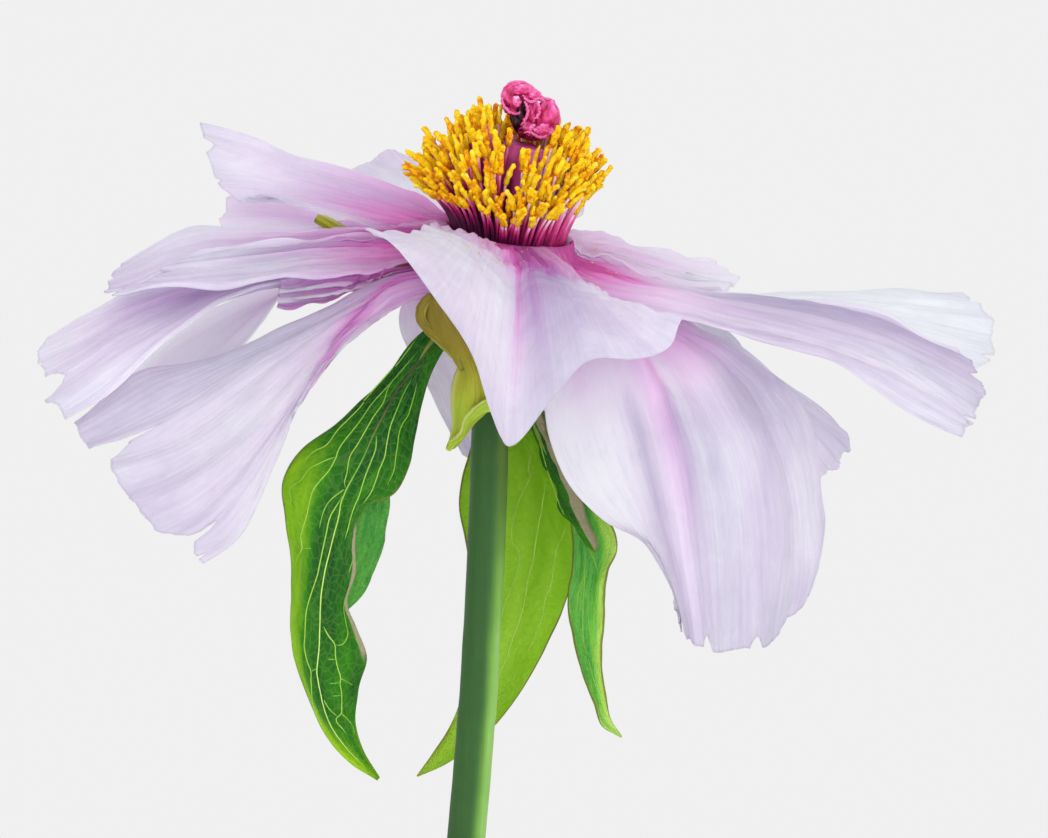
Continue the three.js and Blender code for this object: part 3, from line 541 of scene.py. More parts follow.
def vase_glaze():
    """Stoneware under a glossy off-white glaze, fired in a kiln: faint grey-green pooling, sparse
    iron specks about 0.8 mm across, throwing rings 3 mm apart and a bare clay foot."""
    material, tree = new_material("glazed_stoneware")
    place = node(tree, "TexCoord").outputs["Object"]
    height = node(tree, "SeparateXYZ", {0: place}).outputs[2]
    pool = node(tree, "TexNoise", {"Vector": place, "Scale": 28.0, "Detail": 3.0})
    speck = node(tree, "TexNoise", {"Vector": place, "Scale": 620.0, "Detail": 1.0})
    glaze = node(tree, "ValToRGB", {0: pool, "stops": [(0.3, "DAD9CF"), (0.7, "ECEAE4")]})
    spot = node(tree, "MapRange", {0: speck, 1: 0.74, 2: 0.78, 3: 0.0, 4: 0.55})
    specked = node(tree, "Mix", {"data_type": "RGBA", 0: spot, 6: glaze, 7: srgb("8B7C66")}).outputs[2]
    foot = node(tree, "MapRange", {0: height, 1: 0.0016, 2: 0.0022, 3: 1.0, 4: 0.0})
    body = node(tree, "Mix", {"data_type": "RGBA", 0: foot, 6: specked, 7: srgb("B79F80")}).outputs[2]
    rough = node(tree, "MapRange", {0: foot, 1: 0.0, 2: 1.0, 3: 0.16, 4: 0.85})
    throwing = node(tree, "Mapping", {"Vector": place, "Scale": (6.0, 6.0, 330.0)})
    rings = node(tree, "TexNoise", {"Vector": throwing, "Scale": 1.0, "Detail": 2.0})
    bump = node(tree, "Bump", {"Height": rings, "Strength": 0.12, "Distance": 0.0006})
    finish_opaque(tree, {
        "Base Color": body, "Roughness": rough, "Normal": bump,
        "IOR": 1.5, "Coat Weight": 0.4, "Coat Roughness": 0.06,
    })
    return material


def clear_water():
    """Still tap water: clear and smooth, with the faintest ripple."""
    material, tree = new_material("still_water")
    place = node(tree, "TexCoord").outputs["Object"]
    ripple = node(tree, "TexNoise", {"Vector": place, "Scale": 60.0, "Detail": 1.0})
    tone = node(tree, "ValToRGB", {0: ripple, "stops": [(0.3, "E4EEF0"), (0.7, "F2F7F7")]})
    bump = node(tree, "Bump", {"Height": ripple, "Strength": 0.1, "Distance": 0.0003})
    finish_opaque(tree, {
        "Base Color": tone, "Normal": bump, "Roughness": 0.02, "IOR": 1.333, "Transmission Weight": 1.0,
    })
    return material


def background_paper():
    """Matt pale grey background paper, laid flat, with its fibres drawn at 2.5 mm so that they show."""
    material, tree = new_material("background_paper")
    place = node(tree, "TexCoord").outputs["Object"]
    fibre = node(tree, "TexNoise", {"Vector": place, "Scale": 400.0, "Detail": 3.0})
    tone = node(tree, "ValToRGB", {0: fibre, "stops": [(0.3, "D6D6D6"), (0.7, "DBDBDB")]})
    finish_opaque(tree, {"Base Color": tone, "Roughness": 0.9, "Specular IOR Level": 0.2})
    return material


PETAL = petal_tissue()
LEAF_UPPER = leaf_blade(
    "leaf_upper_skin", "104C22", "388616", "A2D41C", roughness=0.5, light_through=0.25
)
LEAF_YOUNG = leaf_blade(
    "young_leaf_skin", "3A964E", "78C658", "CEF27A", roughness=0.5, light_through=0.3
)
# the undersides' greens are pushed very bright: painted light, for the glow of light shining through the leaf
# from behind
LEAF_UNDER_PAINTED_GLOW = leaf_blade(
    "leaf_under_skin_painted_glow", "9CE822", "C0F832", "DCFC62", roughness=0.6, light_through=0.62
)
VEIN = leaf_vein()
SEPAL = sepal_tissue()

# ---- Petals ----

# ring is the petal's place down the receptacle and root its azimuth there in degrees. claw is the
# azimuth range over which its base stands up round the stamens. ruffle, waves and scallop shape its
# margin as in the imported model, and outline cuts it back further: v and the share of the length that
# is gone. folds, ribs and crumple are heights in mm: of broad soft folds, of fine ribs near the tip
# (after their number) and of the crushed tissue near the root. teeth is how ragged the tip is. blush
# is how pink its root is and how far that reaches. streaks are pink bands, and the shade bands are
# painted shade in lavender-grey, where the light misses facets, folds and valleys, or painted light,
# whiter, when below 0, along lit rims and ridges and over petals that lie in shade. Each is given by:
# v at the root, v at the tip, half-width, strength, where it ends. creases are sharp folds: v at the
# root, v at the tip, half-width and height in mm. slits are narrow splits in the tip: v, depth as a
# share of the length, and half-width. lines run from root to tip: first and last are the petal's two
# edges, the others its folds. v is 0 at the first edge and 1 at the last.
PLAIN_PETAL = dict(
    claw=None, waves=2, scallop=0.02, outline=[(0, 0), (1, 0)],
    streaks=[], shade_bands=[], creases=[], slits=[],
)
PETALS = {
    "petal_front": dict(
        ring=0, root=265, claw=(230, 302), ruffle=0.5, folds=0.15, ribs=(30, 0.03), crumple=1.3, teeth=0.0,
        blush=(0.62, 0.16),
        streaks=[(0.475, 0.455, 0.024, 0.5, 0.9), (0.53, 0.55, 0.04, 0.3, 0.9), (0.62, 0.7, 0.1, 0.12, 0.9),
                 (0.44, 0.46, 0.1, 0.25, 0.4), (0.72, 0.66, 0.16, 0.3, 0.38)],
        shade_bands=[(0.62, 0.62, 0.12, 0.55, 1.3), (0.53, 0.53, 0.04, 0.25, 1.2), (0.75, 0.8, 0.06, 0.2, 1.2)],
        creases=[(0.44, 0.43, 0.05, 0.7)],
        lines=[
            [[-14.5, 2.8, -13], [-22, 1.7, -18], [-28.9, 1.7, -24]],
            [[-10.5, 1.8, -17], [-15, -0.3, -25], [-21, -2.6, -31]],
            [[-6.5, -0.2, -21], [-9, -4.8, -32], [-13.5, -12.5, -39]],
            [[-2.5, -2.2, -24], [-4, -9.5, -38], [-6.5, -24, -47]],
            [[1.2, -4, -26.5], [1.2, -17.5, -43], [-0.3, -41, -52]],
            [[4.8, -4.6, -26], [6.5, -13, -41], [8.7, -31.5, -50]],
            [[8.3, -5.4, -24], [12.5, -12.5, -38], [16, -24, -48]],
            [[11.3, -6.4, -22], [17.5, -12.4, -35], [25, -22.9, -45]],
            [[13.4, -7.5, -19], [21.5, -12.6, -32], [32.5, -20.6, -42]],
            [[14.5, -8.4, -17], [24, -12.2, -29], [35.3, -15.3, -39]],
        ],
    ),
    "petal_low_right": dict(
        ring=1, root=298, ruffle=0.6, waves=3, scallop=0.03, folds=0.3, ribs=(34, 0.09), crumple=0.5,
        teeth=1.0, blush=(0.4, 0.25),
        streaks=[(0.37, 0.36, 0.05, 0.3, 0.9), (0.6, 0.62, 0.12, 0.16, 0.6), (0.75, 0.8, 0.1, 0.12, 0.5)],
        shade_bands=[(0.4, 0.4, 0.05, 0.4, 1.1), (0.52, 0.5, 0.05, 0.25, 1.1), (0.82, 0.84, 0.09, 0.3, 0.85),
               (0.26, 0.27, 0.03, 0.35, 1.2), (0.5, 0.5, 0.6, -0.9, 0.5), (0.7, 0.7, 0.12, 0.2, 1.2)],
        creases=[(0.33, 0.335, 0.05, 0.9), (0.8, 0.8, 0.06, -1.0)],
        slits=[(0.08, 0.03, 0.02), (0.4, 0.035, 0.03), (0.62, 0.03, 0.03)],
        lines=[
            [[9, -12.5, -20], [8.5, -20, -24], [7.2, -29, -28], [7.6, -36, -30], [10, -43.5, -33],
             [13.5, -50, -36], [22, -57.5, -39], [29, -61, -40], [32.6, -67, -41], [33, -71.5, -42],
             [34.6, -77.5, -42]],
            [[13, -11.5, -22], [15.5, -22, -28], [18, -34, -32], [22, -46, -36], [28, -58, -39],
             [33, -69, -42], [36.2, -80.5, -43]],
            [[18, -12.5, -21], [26.5, -24, -32], [30, -34, -39], [33, -45, -44], [35, -57, -47],
             [36.8, -69, -49], [38.3, -81.8, -50]],
            [[21, -13, -18], [31, -23.5, -28], [37, -34, -35], [41, -46, -40], [43, -58, -43], [44, -70, -45],
             [44.5, -83.2, -46]],
            [[23, -13.5, -15], [36, -21.5, -25], [43, -31, -32], [49, -43, -37], [51, -56, -41],
             [51.5, -69, -43], [51.5, -82.3, -42]],
            [[25, -14, -11], [40, -20, -17], [50, -29, -23], [56, -41, -29], [59, -53, -32], [59.5, -64, -33],
             [57.5, -75, -32]],
            [[27, -14.3, -8], [38, -17.5, -12], [46, -22, -13], [54, -27.5, -14], [60, -32.5, -16],
             [61.6, -40, -17], [62.2, -48, -19], [64.2, -56, -21], [62, -64, -25]],
        ],
    ),
    "petal_right_under": dict(
        ring=2, root=335, ruffle=0.7, scallop=0.04, folds=0.3, ribs=(24, 0.08), crumple=0.2, teeth=1.3,
        blush=(0.5, 0.3),
        slits=[(0.35, 0.06, 0.03), (0.6, 0.05, 0.02)],
        lines=[
            [[20, -17, -10], [42, -27, -12], [55, -38, -12], [62, -49.5, -8]],
            [[23, -14, -4], [44, -23, 0], [58, -34, 3], [68.5, -43.5, 4]],
            [[24, -13, 4], [38, -16.8, 10], [50, -23.8, 13], [58, -29.5, 15], [67.5, -37.5, 18]],
        ],
    ),
    "petal_right": dict(
        ring=0, root=340, claw=(300, 366), ruffle=0.5, waves=3, folds=0.35, ribs=(28, 0.15), crumple=0.9,
        teeth=1.2, blush=(0.8, 0.26),
        streaks=[(0.62, 0.85, 0.22, 0.9, 0.42), (0.2, 0.2, 0.12, 0.14, 0.5), (0.45, 0.5, 0.3, 0.1, 0.85)],
        shade_bands=[(0.78, 0.82, 0.15, 0.45, 1.6), (0.4, 0.45, 0.12, 0.2, 1.6), (0.1, 0.12, 0.06, 0.2, 1.4),
               (0.99, 0.99, 0.03, -1.0, 2.0), (0.5, 0.5, 1.0, -0.6, 0.6)],
        creases=[(0.3, 0.3, 0.05, -0.6)],
        slits=[(0.12, 0.02, 0.02), (0.3, 0.025, 0.02), (0.5, 0.02, 0.02), (0.72, 0.03, 0.02),
               (0.88, 0.03, 0.02)],
        lines=[
            [[14, -11, -17], [25, -14.5, -24], [36, -15.6, -28], [42, -17.2, -31], [48, -19.2, -34],
             [55, -20.3, -37], [62, -22.3, -39], [70, -26.5, -41], [76, -29.8, -41], [83, -33.8, -40],
             [92.8, -38.8, -38]],
            [[13, -5.8, -12], [20, -8.9, -17], [29, -10.3, -21], [40, -13.5, -24], [55, -17, -28],
             [68, -20.8, -30], [80, -25.5, -30], [94.3, -35.2, -29]],
            [[13.5, -4.3, -6], [20, -6.5, -9], [30, -9.2, -11], [42, -11.5, -12], [55, -13.4, -14],
             [68, -16, -15], [80, -20.5, -16], [96.4, -29.5, -18]],
            [[13.5, -2.8, 0], [18, -3.6, 1], [24, -5.9, 2], [30, -8.1, 3], [36, -9.4, 4], [42, -9.9, 5],
             [50, -10.1, 6], [60, -11, 6], [67, -12.2, 6], [71, -13.6, 5], [78, -14.6, 3], [82, -17.5, 0],
             [84, -20, -3], [90.8, -21, -6]],
        ],
    ),
    "petal_far_right": dict(
        ring=1, root=0, ruffle=0.6, folds=0.25, ribs=(24, 0.07), crumple=0.2, teeth=0.8, blush=(0.6, 0.3),
        streaks=[(0.5, 0.5, 2.0, -0.12, 3.0)],
        shade_bands=[(0.5, 0.5, 1.0, -0.1, 1.5)],
        creases=[(0.4, 0.45, 0.05, 0.5)],
        slits=[(0.25, 0.03, 0.02), (0.75, 0.03, 0.02)],
        lines=[
            [[24, -10, -1], [50, -13, 0], [74, -19, 2], [92, -28, 6]],
            [[25, -9.3, 5], [50, -12, 11], [75, -15.5, 17], [98.2, -21.5, 22]],
            [[24.5, -8.9, 10], [50, -11, 20], [75, -12, 32], [96, -14, 38]],
            [[24, -8.6, 13], [50, -10.3, 28], [65, -9.2, 38], [80, -9.6, 44], [91, -9.8, 46]],
        ],
    ),
    "petal_back_right": dict(
        ring=0, root=37, claw=(5, 68), ruffle=0.4, scallop=0.03, folds=0.35, ribs=(14, 0.1), crumple=0.8,
        teeth=1.4, blush=(0.14, 0.8),
        streaks=[(0.22, 0.2, 0.1, 0.35, 0.6), (0.5, 0.45, 0.1, 0.15, 0.8)],
        shade_bands=[(0.5, 0.5, 1.5, -0.8, 1.6)],
        creases=[(0.3, 0.3, 0.05, 0.9), (0.6, 0.5, 0.05, 0.7)],
        slits=[(0.28, 0.3, 0.03), (0.62, 0.06, 0.02)],
        lines=[
            [[14.5, -2.4, 3], [19, -3.3, 5], [24, -5.4, 8], [30, -7.8, 12], [36, -9.1, 16], [43, -9.7, 20]],
            [[14.5, -0.8, 9], [22, -2.4, 14], [31, -4.5, 23], [39, -6.5, 32], [46.5, -7.8, 40]],
            [[12.5, 2.2, 18], [15, 2.5, 20], [18, 0.8, 23], [22, 0.2, 28], [27, -0.9, 36], [32, -2.3, 45],
             [38, -3.5, 54], [42, -4.8, 60]],
        ],
    ),
    "petal_back": dict(
        ring=0, root=95, claw=(64, 128), ruffle=0.5, folds=0.3, ribs=(22, 0.06), crumple=0.4, teeth=0.7,
        blush=(0.7, 0.3),
        streaks=[(0.5, 0.5, 0.12, 0.2, 0.7)],
        creases=[(0.5, 0.5, 0.06, 0.6)],
        slits=[(0.3, 0.03, 0.02), (0.55, 0.04, 0.025)],
        lines=[
            [[9, 1.5, 20], [15, 6, 40], [14, 12, 62]],
            [[3, 2.5, 24], [4, 8, 43], [0, 15, 69]],
            [[-4, 3, 26], [-8, 9, 46], [-14, 16.3, 71]],
            [[-9, 3.5, 24], [-15, 9.6, 44], [-24.5, 17.6, 67]],
            [[-13, 4, 21], [-20, 10, 40], [-33, 14.2, 58]],
        ],
    ),
    "petal_upper_left": dict(
        ring=0, root=150, claw=(126, 176), ruffle=0.25, scallop=0.01, folds=0.1, ribs=(26, 0.015),
        crumple=0.4, teeth=0.6, blush=(0.7, 0.62),
        streaks=[(0.6, 0.6, 0.3, 0.25, 0.9), (0.85, 0.9, 0.12, 0.3, 0.6)],
        shade_bands=[(0.2, 0.1, 0.12, 0.2, 1.1), (0.97, 0.97, 0.05, 0.5, 0.7)],
        slits=[(0.14, 0.03, 0.05), (0.38, 0.02, 0.03)],
        lines=[
            [[-13, 6, 14], [-17, 8.7, 22], [-22, 11.2, 28], [-27, 13.1, 33], [-32, 14.4, 38], [-38, 15.6, 43],
             [-43, 17.6, 47], [-50, 20.1, 53], [-55, 21.6, 57], [-61.8, 23.5, 62]],
            [[-15, 5.3, 12], [-28, 9.6, 27], [-44, 14.2, 42], [-60.2, 17.8, 53]],
            [[-16, 4.3, 10], [-27, 6.8, 20], [-42, 10.3, 33], [-58.3, 11.5, 43]],
            [[-16, 3.3, 9], [-26, 4.8, 15], [-38, 7.6, 25], [-54, 8.6, 34]],
            [[-15.5, 2.8, 8.5], [-25, 3.8, 13], [-36, 6.6, 21], [-44, 8.8, 27], [-50.5, 9.4, 31]],
            [[-15, 2.4, 8], [-25, 3, 11], [-30, 3.6, 13], [-34, 4.6, 15], [-38, 6.0, 17], [-44, 8.4, 21]],
        ],
    ),
    "petal_left_upper": dict(
        ring=0, root=203, claw=(174, 232), ruffle=0.3, scallop=0.03, folds=0.35, ribs=(20, 0.07), crumple=0.7,
        teeth=1.0, blush=(0.65, 0.5),
        streaks=[(0.75, 0.7, 0.3, 0.35, 0.85)],
        shade_bands=[(0.8, 0.8, 0.3, 0.4, 0.7)],
        slits=[(0.3, 0.04, 0.02), (0.6, 0.04, 0.02)],
        lines=[
            [[-19, 3.6, 10], [-30, 2.5, 14], [-38, 2.3, 15], [-50, 3.2, 17], [-60, 3, 19], [-65, 2.7, 20],
             [-69, 1.3, 20], [-73, -2.3, 19], [-77.5, -4.8, 16]],
            [[-21, 2.6, 4], [-36, 1.6, 5], [-50, 1, 6], [-64, -0.2, 7], [-80, -7.6, 5]],
            [[-22, 1.2, -2], [-30, 0.8, -4], [-40, -0.6, -6], [-50, -1.2, -8], [-58, -2.5, -9],
             [-64.5, -4, -9], [-72, -7, -8], [-81, -10.2, -5]],
        ],
    ),
    "petal_left_ribbon": dict(
        ring=1, root=170, ruffle=0.3, folds=0.3, ribs=(12, 0.12), crumple=0.3, teeth=0.8, blush=(0.6, 0.4),
        streaks=[(0.2, 0.3, 0.1, 0.35, 0.8), (0.55, 0.55, 0.15, 0.2, 0.6)],
        shade_bands=[(0.1, 0.25, 0.08, 0.5, 0.9), (0.36, 0.36, 0.03, 0.3, 0.9), (0.72, 0.7, 0.08, 0.2, 1.2)],
        creases=[(0.3, 0.3, 0.05, 0.6), (0.62, 0.6, 0.05, 0.8), (0.97, 0.97, 0.05, 0.5)],
        slits=[(0.4, 0.05, 0.02)],
        lines=[
            [[-22, 1.2, 0], [-30, 1.8, -2.5], [-40, 0.5, -4.6], [-50, -0.1, -6.6], [-58, -1.3, -7.6],
             [-64, -2.9, -7.8], [-69, -4.6, -8]],
            [[-22, -2.6, -4], [-30, -3, -6], [-38, -3.4, -9], [-46, -4.5, -11], [-54, -5.5, -13],
             [-62, -6.3, -14], [-71, -7, -14]],
            [[-21.5, -4.2, -12], [-25, -5.5, -14], [-30, -6.5, -16], [-38, -6.6, -18], [-44, -6.9, -20],
             [-50, -7.9, -21], [-57, -8.7, -22], [-65, -9, -22], [-72, -9.6, -21], [-80, -10.4, -20]],
        ],
    ),
    "petal_left_tip": dict(
        ring=2, root=203, ruffle=0.4, waves=3, folds=0.3, ribs=(28, 0.07), crumple=0.4, teeth=1.0,
        blush=(0.45, 0.4),
        streaks=[(0.45, 0.4, 0.25, 0.2, 1.1), (0.8, 0.8, 0.06, 0.14, 0.9)],
        shade_bands=[(0.5, 0.55, 0.2, 0.4, 1.1), (0.9, 0.9, 0.05, 0.4, 0.95)],
        creases=[(0.35, 0.3, 0.06, 0.6), (0.96, 0.96, 0.05, 0.5)],
        slits=[(0.16, 0.02, 0.02), (0.61, 0.055, 0.09), (0.4, 0.02, 0.02)],
        lines=[
            [[-21, -6.3, -1.5], [-48, -6.2, 8], [-70, -8, 10], [-80, -10.6, 9], [-86, -16.4, 8],
             [-90.5, -19, 6]],
            [[-21.5, -6.7, -3], [-49, -7, 2], [-71, -11, 1], [-84, -17, 0], [-94.6, -21.5, -4]],
            [[-22, -7, -5], [-50, -8, -3], [-72, -14.5, -8], [-84, -22, -11], [-93.8, -27, -14]],
            [[-22, -7.4, -7], [-50, -8.8, -8], [-70, -17.5, -16], [-82, -25.5, -20], [-92.6, -32.5, -23]],
            [[-22, -7.6, -8], [-45, -8.8, -11], [-58.5, -12.4, -16], [-65, -17.6, -20], [-70, -21.7, -23],
             [-74, -25, -25], [-77, -27.2, -26], [-82, -30.8, -27], [-89, -35.3, -28]],
        ],
    ),
    "petal_left_under": dict(
        ring=2, root=158, ruffle=0.3, folds=0.25, ribs=(22, 0.05), crumple=0.3, teeth=0.7, blush=(0.4, 0.4),
        streaks=[(0.8, 0.8, 0.2, 0.18, 0.7)],
        shade_bands=[(0.5, 0.5, 1.5, -0.9, 1.6)],
        slits=[(0.4, 0.04, 0.02), (0.7, 0.04, 0.02)],
        lines=[
            [[-21, -7.5, 9.5], [-44, -8.4, 22], [-62, -14, 28], [-72, -21, 28], [-80, -28, 26]],
            [[-23, -8.5, 5], [-44, -10.5, 10], [-60, -18, 12], [-70, -25, 11], [-78, -32, 10]],
            [[-23, -9.5, 0], [-41, -9.3, -2], [-47, -12.9, -3], [-53.6, -20.4, -4], [-60, -27, -3],
             [-70, -31.5, -2]],
        ],
    ),
    "petal_left_behind": dict(
        ring=1, root=122, ruffle=0.4, scallop=0.03, folds=0.4, ribs=(16, 0.06), crumple=0.4, teeth=0.8,
        blush=(0.5, 0.5),
        streaks=[(0.4, 0.4, 0.3, 0.2, 1.2)],
        shade_bands=[(0.5, 0.5, 1.5, -0.5, 1.6)],
        lines=[
            [[-15, 2, 26], [-34, 4.6, 46], [-45, 10.5, 54], [-55.5, 10.5, 58]],
            [[-19, 1.5, 20], [-35, 3.4, 34], [-47, 5, 40], [-57.6, 5, 44]],
            [[-21.5, 1, 15.5], [-36, 2.2, 21], [-46, 1, 23], [-58, -1, 24]],
        ],
    ),
    "petal_low_left": dict(
        ring=2, root=250, ruffle=0.35, waves=3, folds=0.3, ribs=(34, 0.07), crumple=0.3, teeth=0.9,
        blush=(0.42, 0.26),
        outline=[(0, 0), (0.27, 0), (0.31, 0.075), (0.345, 0.075), (0.39, 0.01), (0.46, 0), (0.78, 0.01),
                 (0.86, 0.05), (0.9, 0.05), (0.94, 0.02), (1, 0)],
        streaks=[(-0.08, 2.28, 0.16, 0.42, 0.68), (0.45, 0.72, 0.14, 0.1, 0.7), (0.8, 0.84, 0.08, 0.12, 0.8)],
        shade_bands=[(0.1, 0.16, 0.12, 0.35, 1.2), (0.19, 1.59, 0.035, 0.75, 0.55), (0.8, 0.84, 0.04, 0.25, 1.0),
               (0.3, 0.36, 0.03, 0.2, 1.2)],
        creases=[(0.8, 0.86, 0.05, 0.8), (0.3, 0.34, 0.07, 0.5), (0.23, 1.6, 0.05, 0.7)],
        slits=[(0.02, 0.03, 0.01), (0.325, 0.11, 0.014), (0.885, 0.09, 0.013), (0.97, 0.03, 0.008)],
        lines=[
            [[-21, -6.3, -12], [-25, -7.6, -12], [-33, -10.9, -12], [-42, -16, -12], [-50, -19, -12],
             [-60, -22.5, -12], [-70, -25, -12], [-74, -25.9, -12], [-78, -28.2, -12], [-82, -31.7, -12],
             [-88, -36.5, -12]],
            [[-21.3, -7.4, -14], [-30, -12.6, -14.5], [-40, -18, -17], [-50, -23, -18], [-60, -28.5, -19],
             [-72, -35, -20], [-84.5, -41, -20]],
            [[-21, -8.6, -15.5], [-28, -13, -18], [-37, -19.5, -21], [-47, -28, -25], [-58, -37, -28],
             [-68, -43, -28], [-79, -47.5, -28]],
            [[-20, -10, -17], [-27, -15, -20], [-36, -23, -25], [-45, -34, -30], [-54, -44, -34],
             [-63, -52, -37], [-73, -57.6, -37]],
            [[-17, -11, -17], [-24, -14, -20], [-30, -18, -24], [-38, -27.5, -28], [-44.5, -38, -32],
             [-48, -48, -36], [-53, -57, -40], [-56, -61, -42], [-62.5, -65.2, -45]],
        ],
    ),
    "petal_back_hanging": dict(
        ring=2, root=105, ruffle=0.4, scallop=0.03, folds=0.3, ribs=(22, 0.05), crumple=0.3, teeth=0.8,
        blush=(0.4, 0.3),
        creases=[(0.5, 0.5, 0.06, 0.5)],
        slits=[(0.4, 0.04, 0.02), (0.7, 0.04, 0.02)],
        lines=[
            [[8, -9, 22], [14, -22, 33], [9, -38, 38], [3, -46, 40]],
            [[-4, -8, 26], [-3, -21, 38], [-2, -38, 42], [-3, -47, 42]],
            [[-15, -9, 21], [-22, -15, 32], [-15, -31, 37], [-9, -42.5, 40]],
        ],
    ),
    "petal_back_right_low": dict(
        ring=2, root=45, ruffle=0.6, scallop=0.04, folds=0.4, ribs=(24, 0.06), crumple=0.3, teeth=1.0,
        blush=(0.6, 0.3),
        streaks=[(0.5, 0.5, 0.1, 0.2, 0.7)],
        creases=[(0.5, 0.5, 0.06, 0.8)],
        slits=[(0.3, 0.06, 0.02), (0.6, 0.08, 0.025)],
        lines=[
            [[22, -11, 10], [44, -19, 16], [50, -36, 22]],
            [[18, -9, 18], [35, -15, 36], [43, -35, 46]],
            [[11, -8, 23], [20, -15, 44], [22, -31, 56]],
        ],
    ),
    "petal_back_low": dict(
        ring=1, root=74, ruffle=0.6, waves=3, scallop=0.03, folds=0.4, ribs=(26, 0.07), crumple=0.3,
        teeth=1.0, blush=(0.65, 0.3),
        streaks=[(0.5, 0.5, 0.12, 0.2, 0.7)],
        creases=[(0.4, 0.4, 0.06, 0.9)],
        slits=[(0.2, 0.05, 0.02), (0.45, 0.07, 0.025), (0.7, 0.06, 0.02)],
        lines=[
            [[15, -4, 22], [29, -5, 42], [33, -7, 66]],
            [[6, -2.5, 27], [9, -1, 52], [10, -3, 80]],
            [[-4, -2, 27], [-13, 0, 48], [-18, -2, 72]],
        ],
    ),
    # a crushed inner fold of the ribbon petal, in its shade: its mauve is painted shade, with painted
    # highlights, whiter and less pink, along its two crease ridges
    "petal_left_fold": dict(
        ring=2, root=202, ruffle=0.2, folds=0.3, ribs=(9, 0.25), crumple=0.8, teeth=0.6, blush=(0.85, 1.6),
        stands_in="petal_left_ribbon",
        streaks=[(0.35, 0.3, 0.03, -0.6, 2.0), (0.62, 0.7, 0.04, -0.6, 2.0)],
        shade_bands=[(0.5, 0.5, 1.0, 0.5, 2.4), (0.35, 0.3, 0.03, -1.0, 2.0), (0.62, 0.7, 0.04, -1.0, 2.0)],
        creases=[(0.35, 0.3, 0.05, 0.8), (0.62, 0.7, 0.05, 0.8)],
        lines=[
            [[-23, -5.2, -13], [-30, -6.2, -14.5], [-38, -6.6, -15.5], [-45.5, -7.2, -16.5]],
            [[-23, -6, -10], [-32, -8.2, -10.5], [-40, -9.6, -10.5], [-46, -10.2, -10.5]],
            [[-23, -7, -8], [-33, -10.2, -8], [-38, -11.8, -8], [-42, -12.7, -8], [-46.2, -12.9, -8]],
        ],
    ),
}

# the receptacle's height and radius, from the stem up
RECEPTACLE_PROFILE = [
    (-22.0, STEM_RADIUS),
    (-18.0, STEM_RADIUS + 0.5),
    (-14.5, STEM_RADIUS + 2.1),
    (-11.5, STEM_RADIUS + 4.7),
    (-9.0, RECEPTACLE_RADIUS - 1.4),
    (-7.0, RECEPTACLE_RADIUS - 0.4),
    (0.0, RECEPTACLE_RADIUS),
]
FIRST_RING = 0.75
PETAL_SEAT = 1.5 * GAP
CLAW_HEIGHT = 1.9
CLAW_RADIUS = 12.9
PETAL_STATIONS = 8
PETAL_THICKNESS = 0.4
# a petal traced with this many lines or more gets the finer grid
BROAD_PETAL = 5
BROAD_GRID = dict(rows=96, columns=150)
NARROW_GRID = dict(rows=80, columns=80)
SKINS = {}  # the petals' surfaces, to lay pollen on


def petal_net(petal):
    height = -(petal["ring"] + FIRST_RING) * RING_SPACING
    radius = between(RECEPTACLE_PROFILE, height) + PETAL_SEAT
    count = len(petal["lines"])
    shares = [column / (count - 1) for column in range(count)]
    turns = [math.radians(petal["root"]) + (v - 0.5) * 2 * PETAL_ROOT_HALF_ANGLE for v in shares]
    rows = [[on_bloom(radius, turn, height) for turn in turns]]
    if petal["claw"]:
        start, end = (math.radians(edge) for edge in petal["claw"])
        rows.append([on_bloom(CLAW_RADIUS, start + (end - start) * v, CLAW_HEIGHT) for v in shares])
    return rows + net_rows(petal["lines"], PETAL_STATIONS)


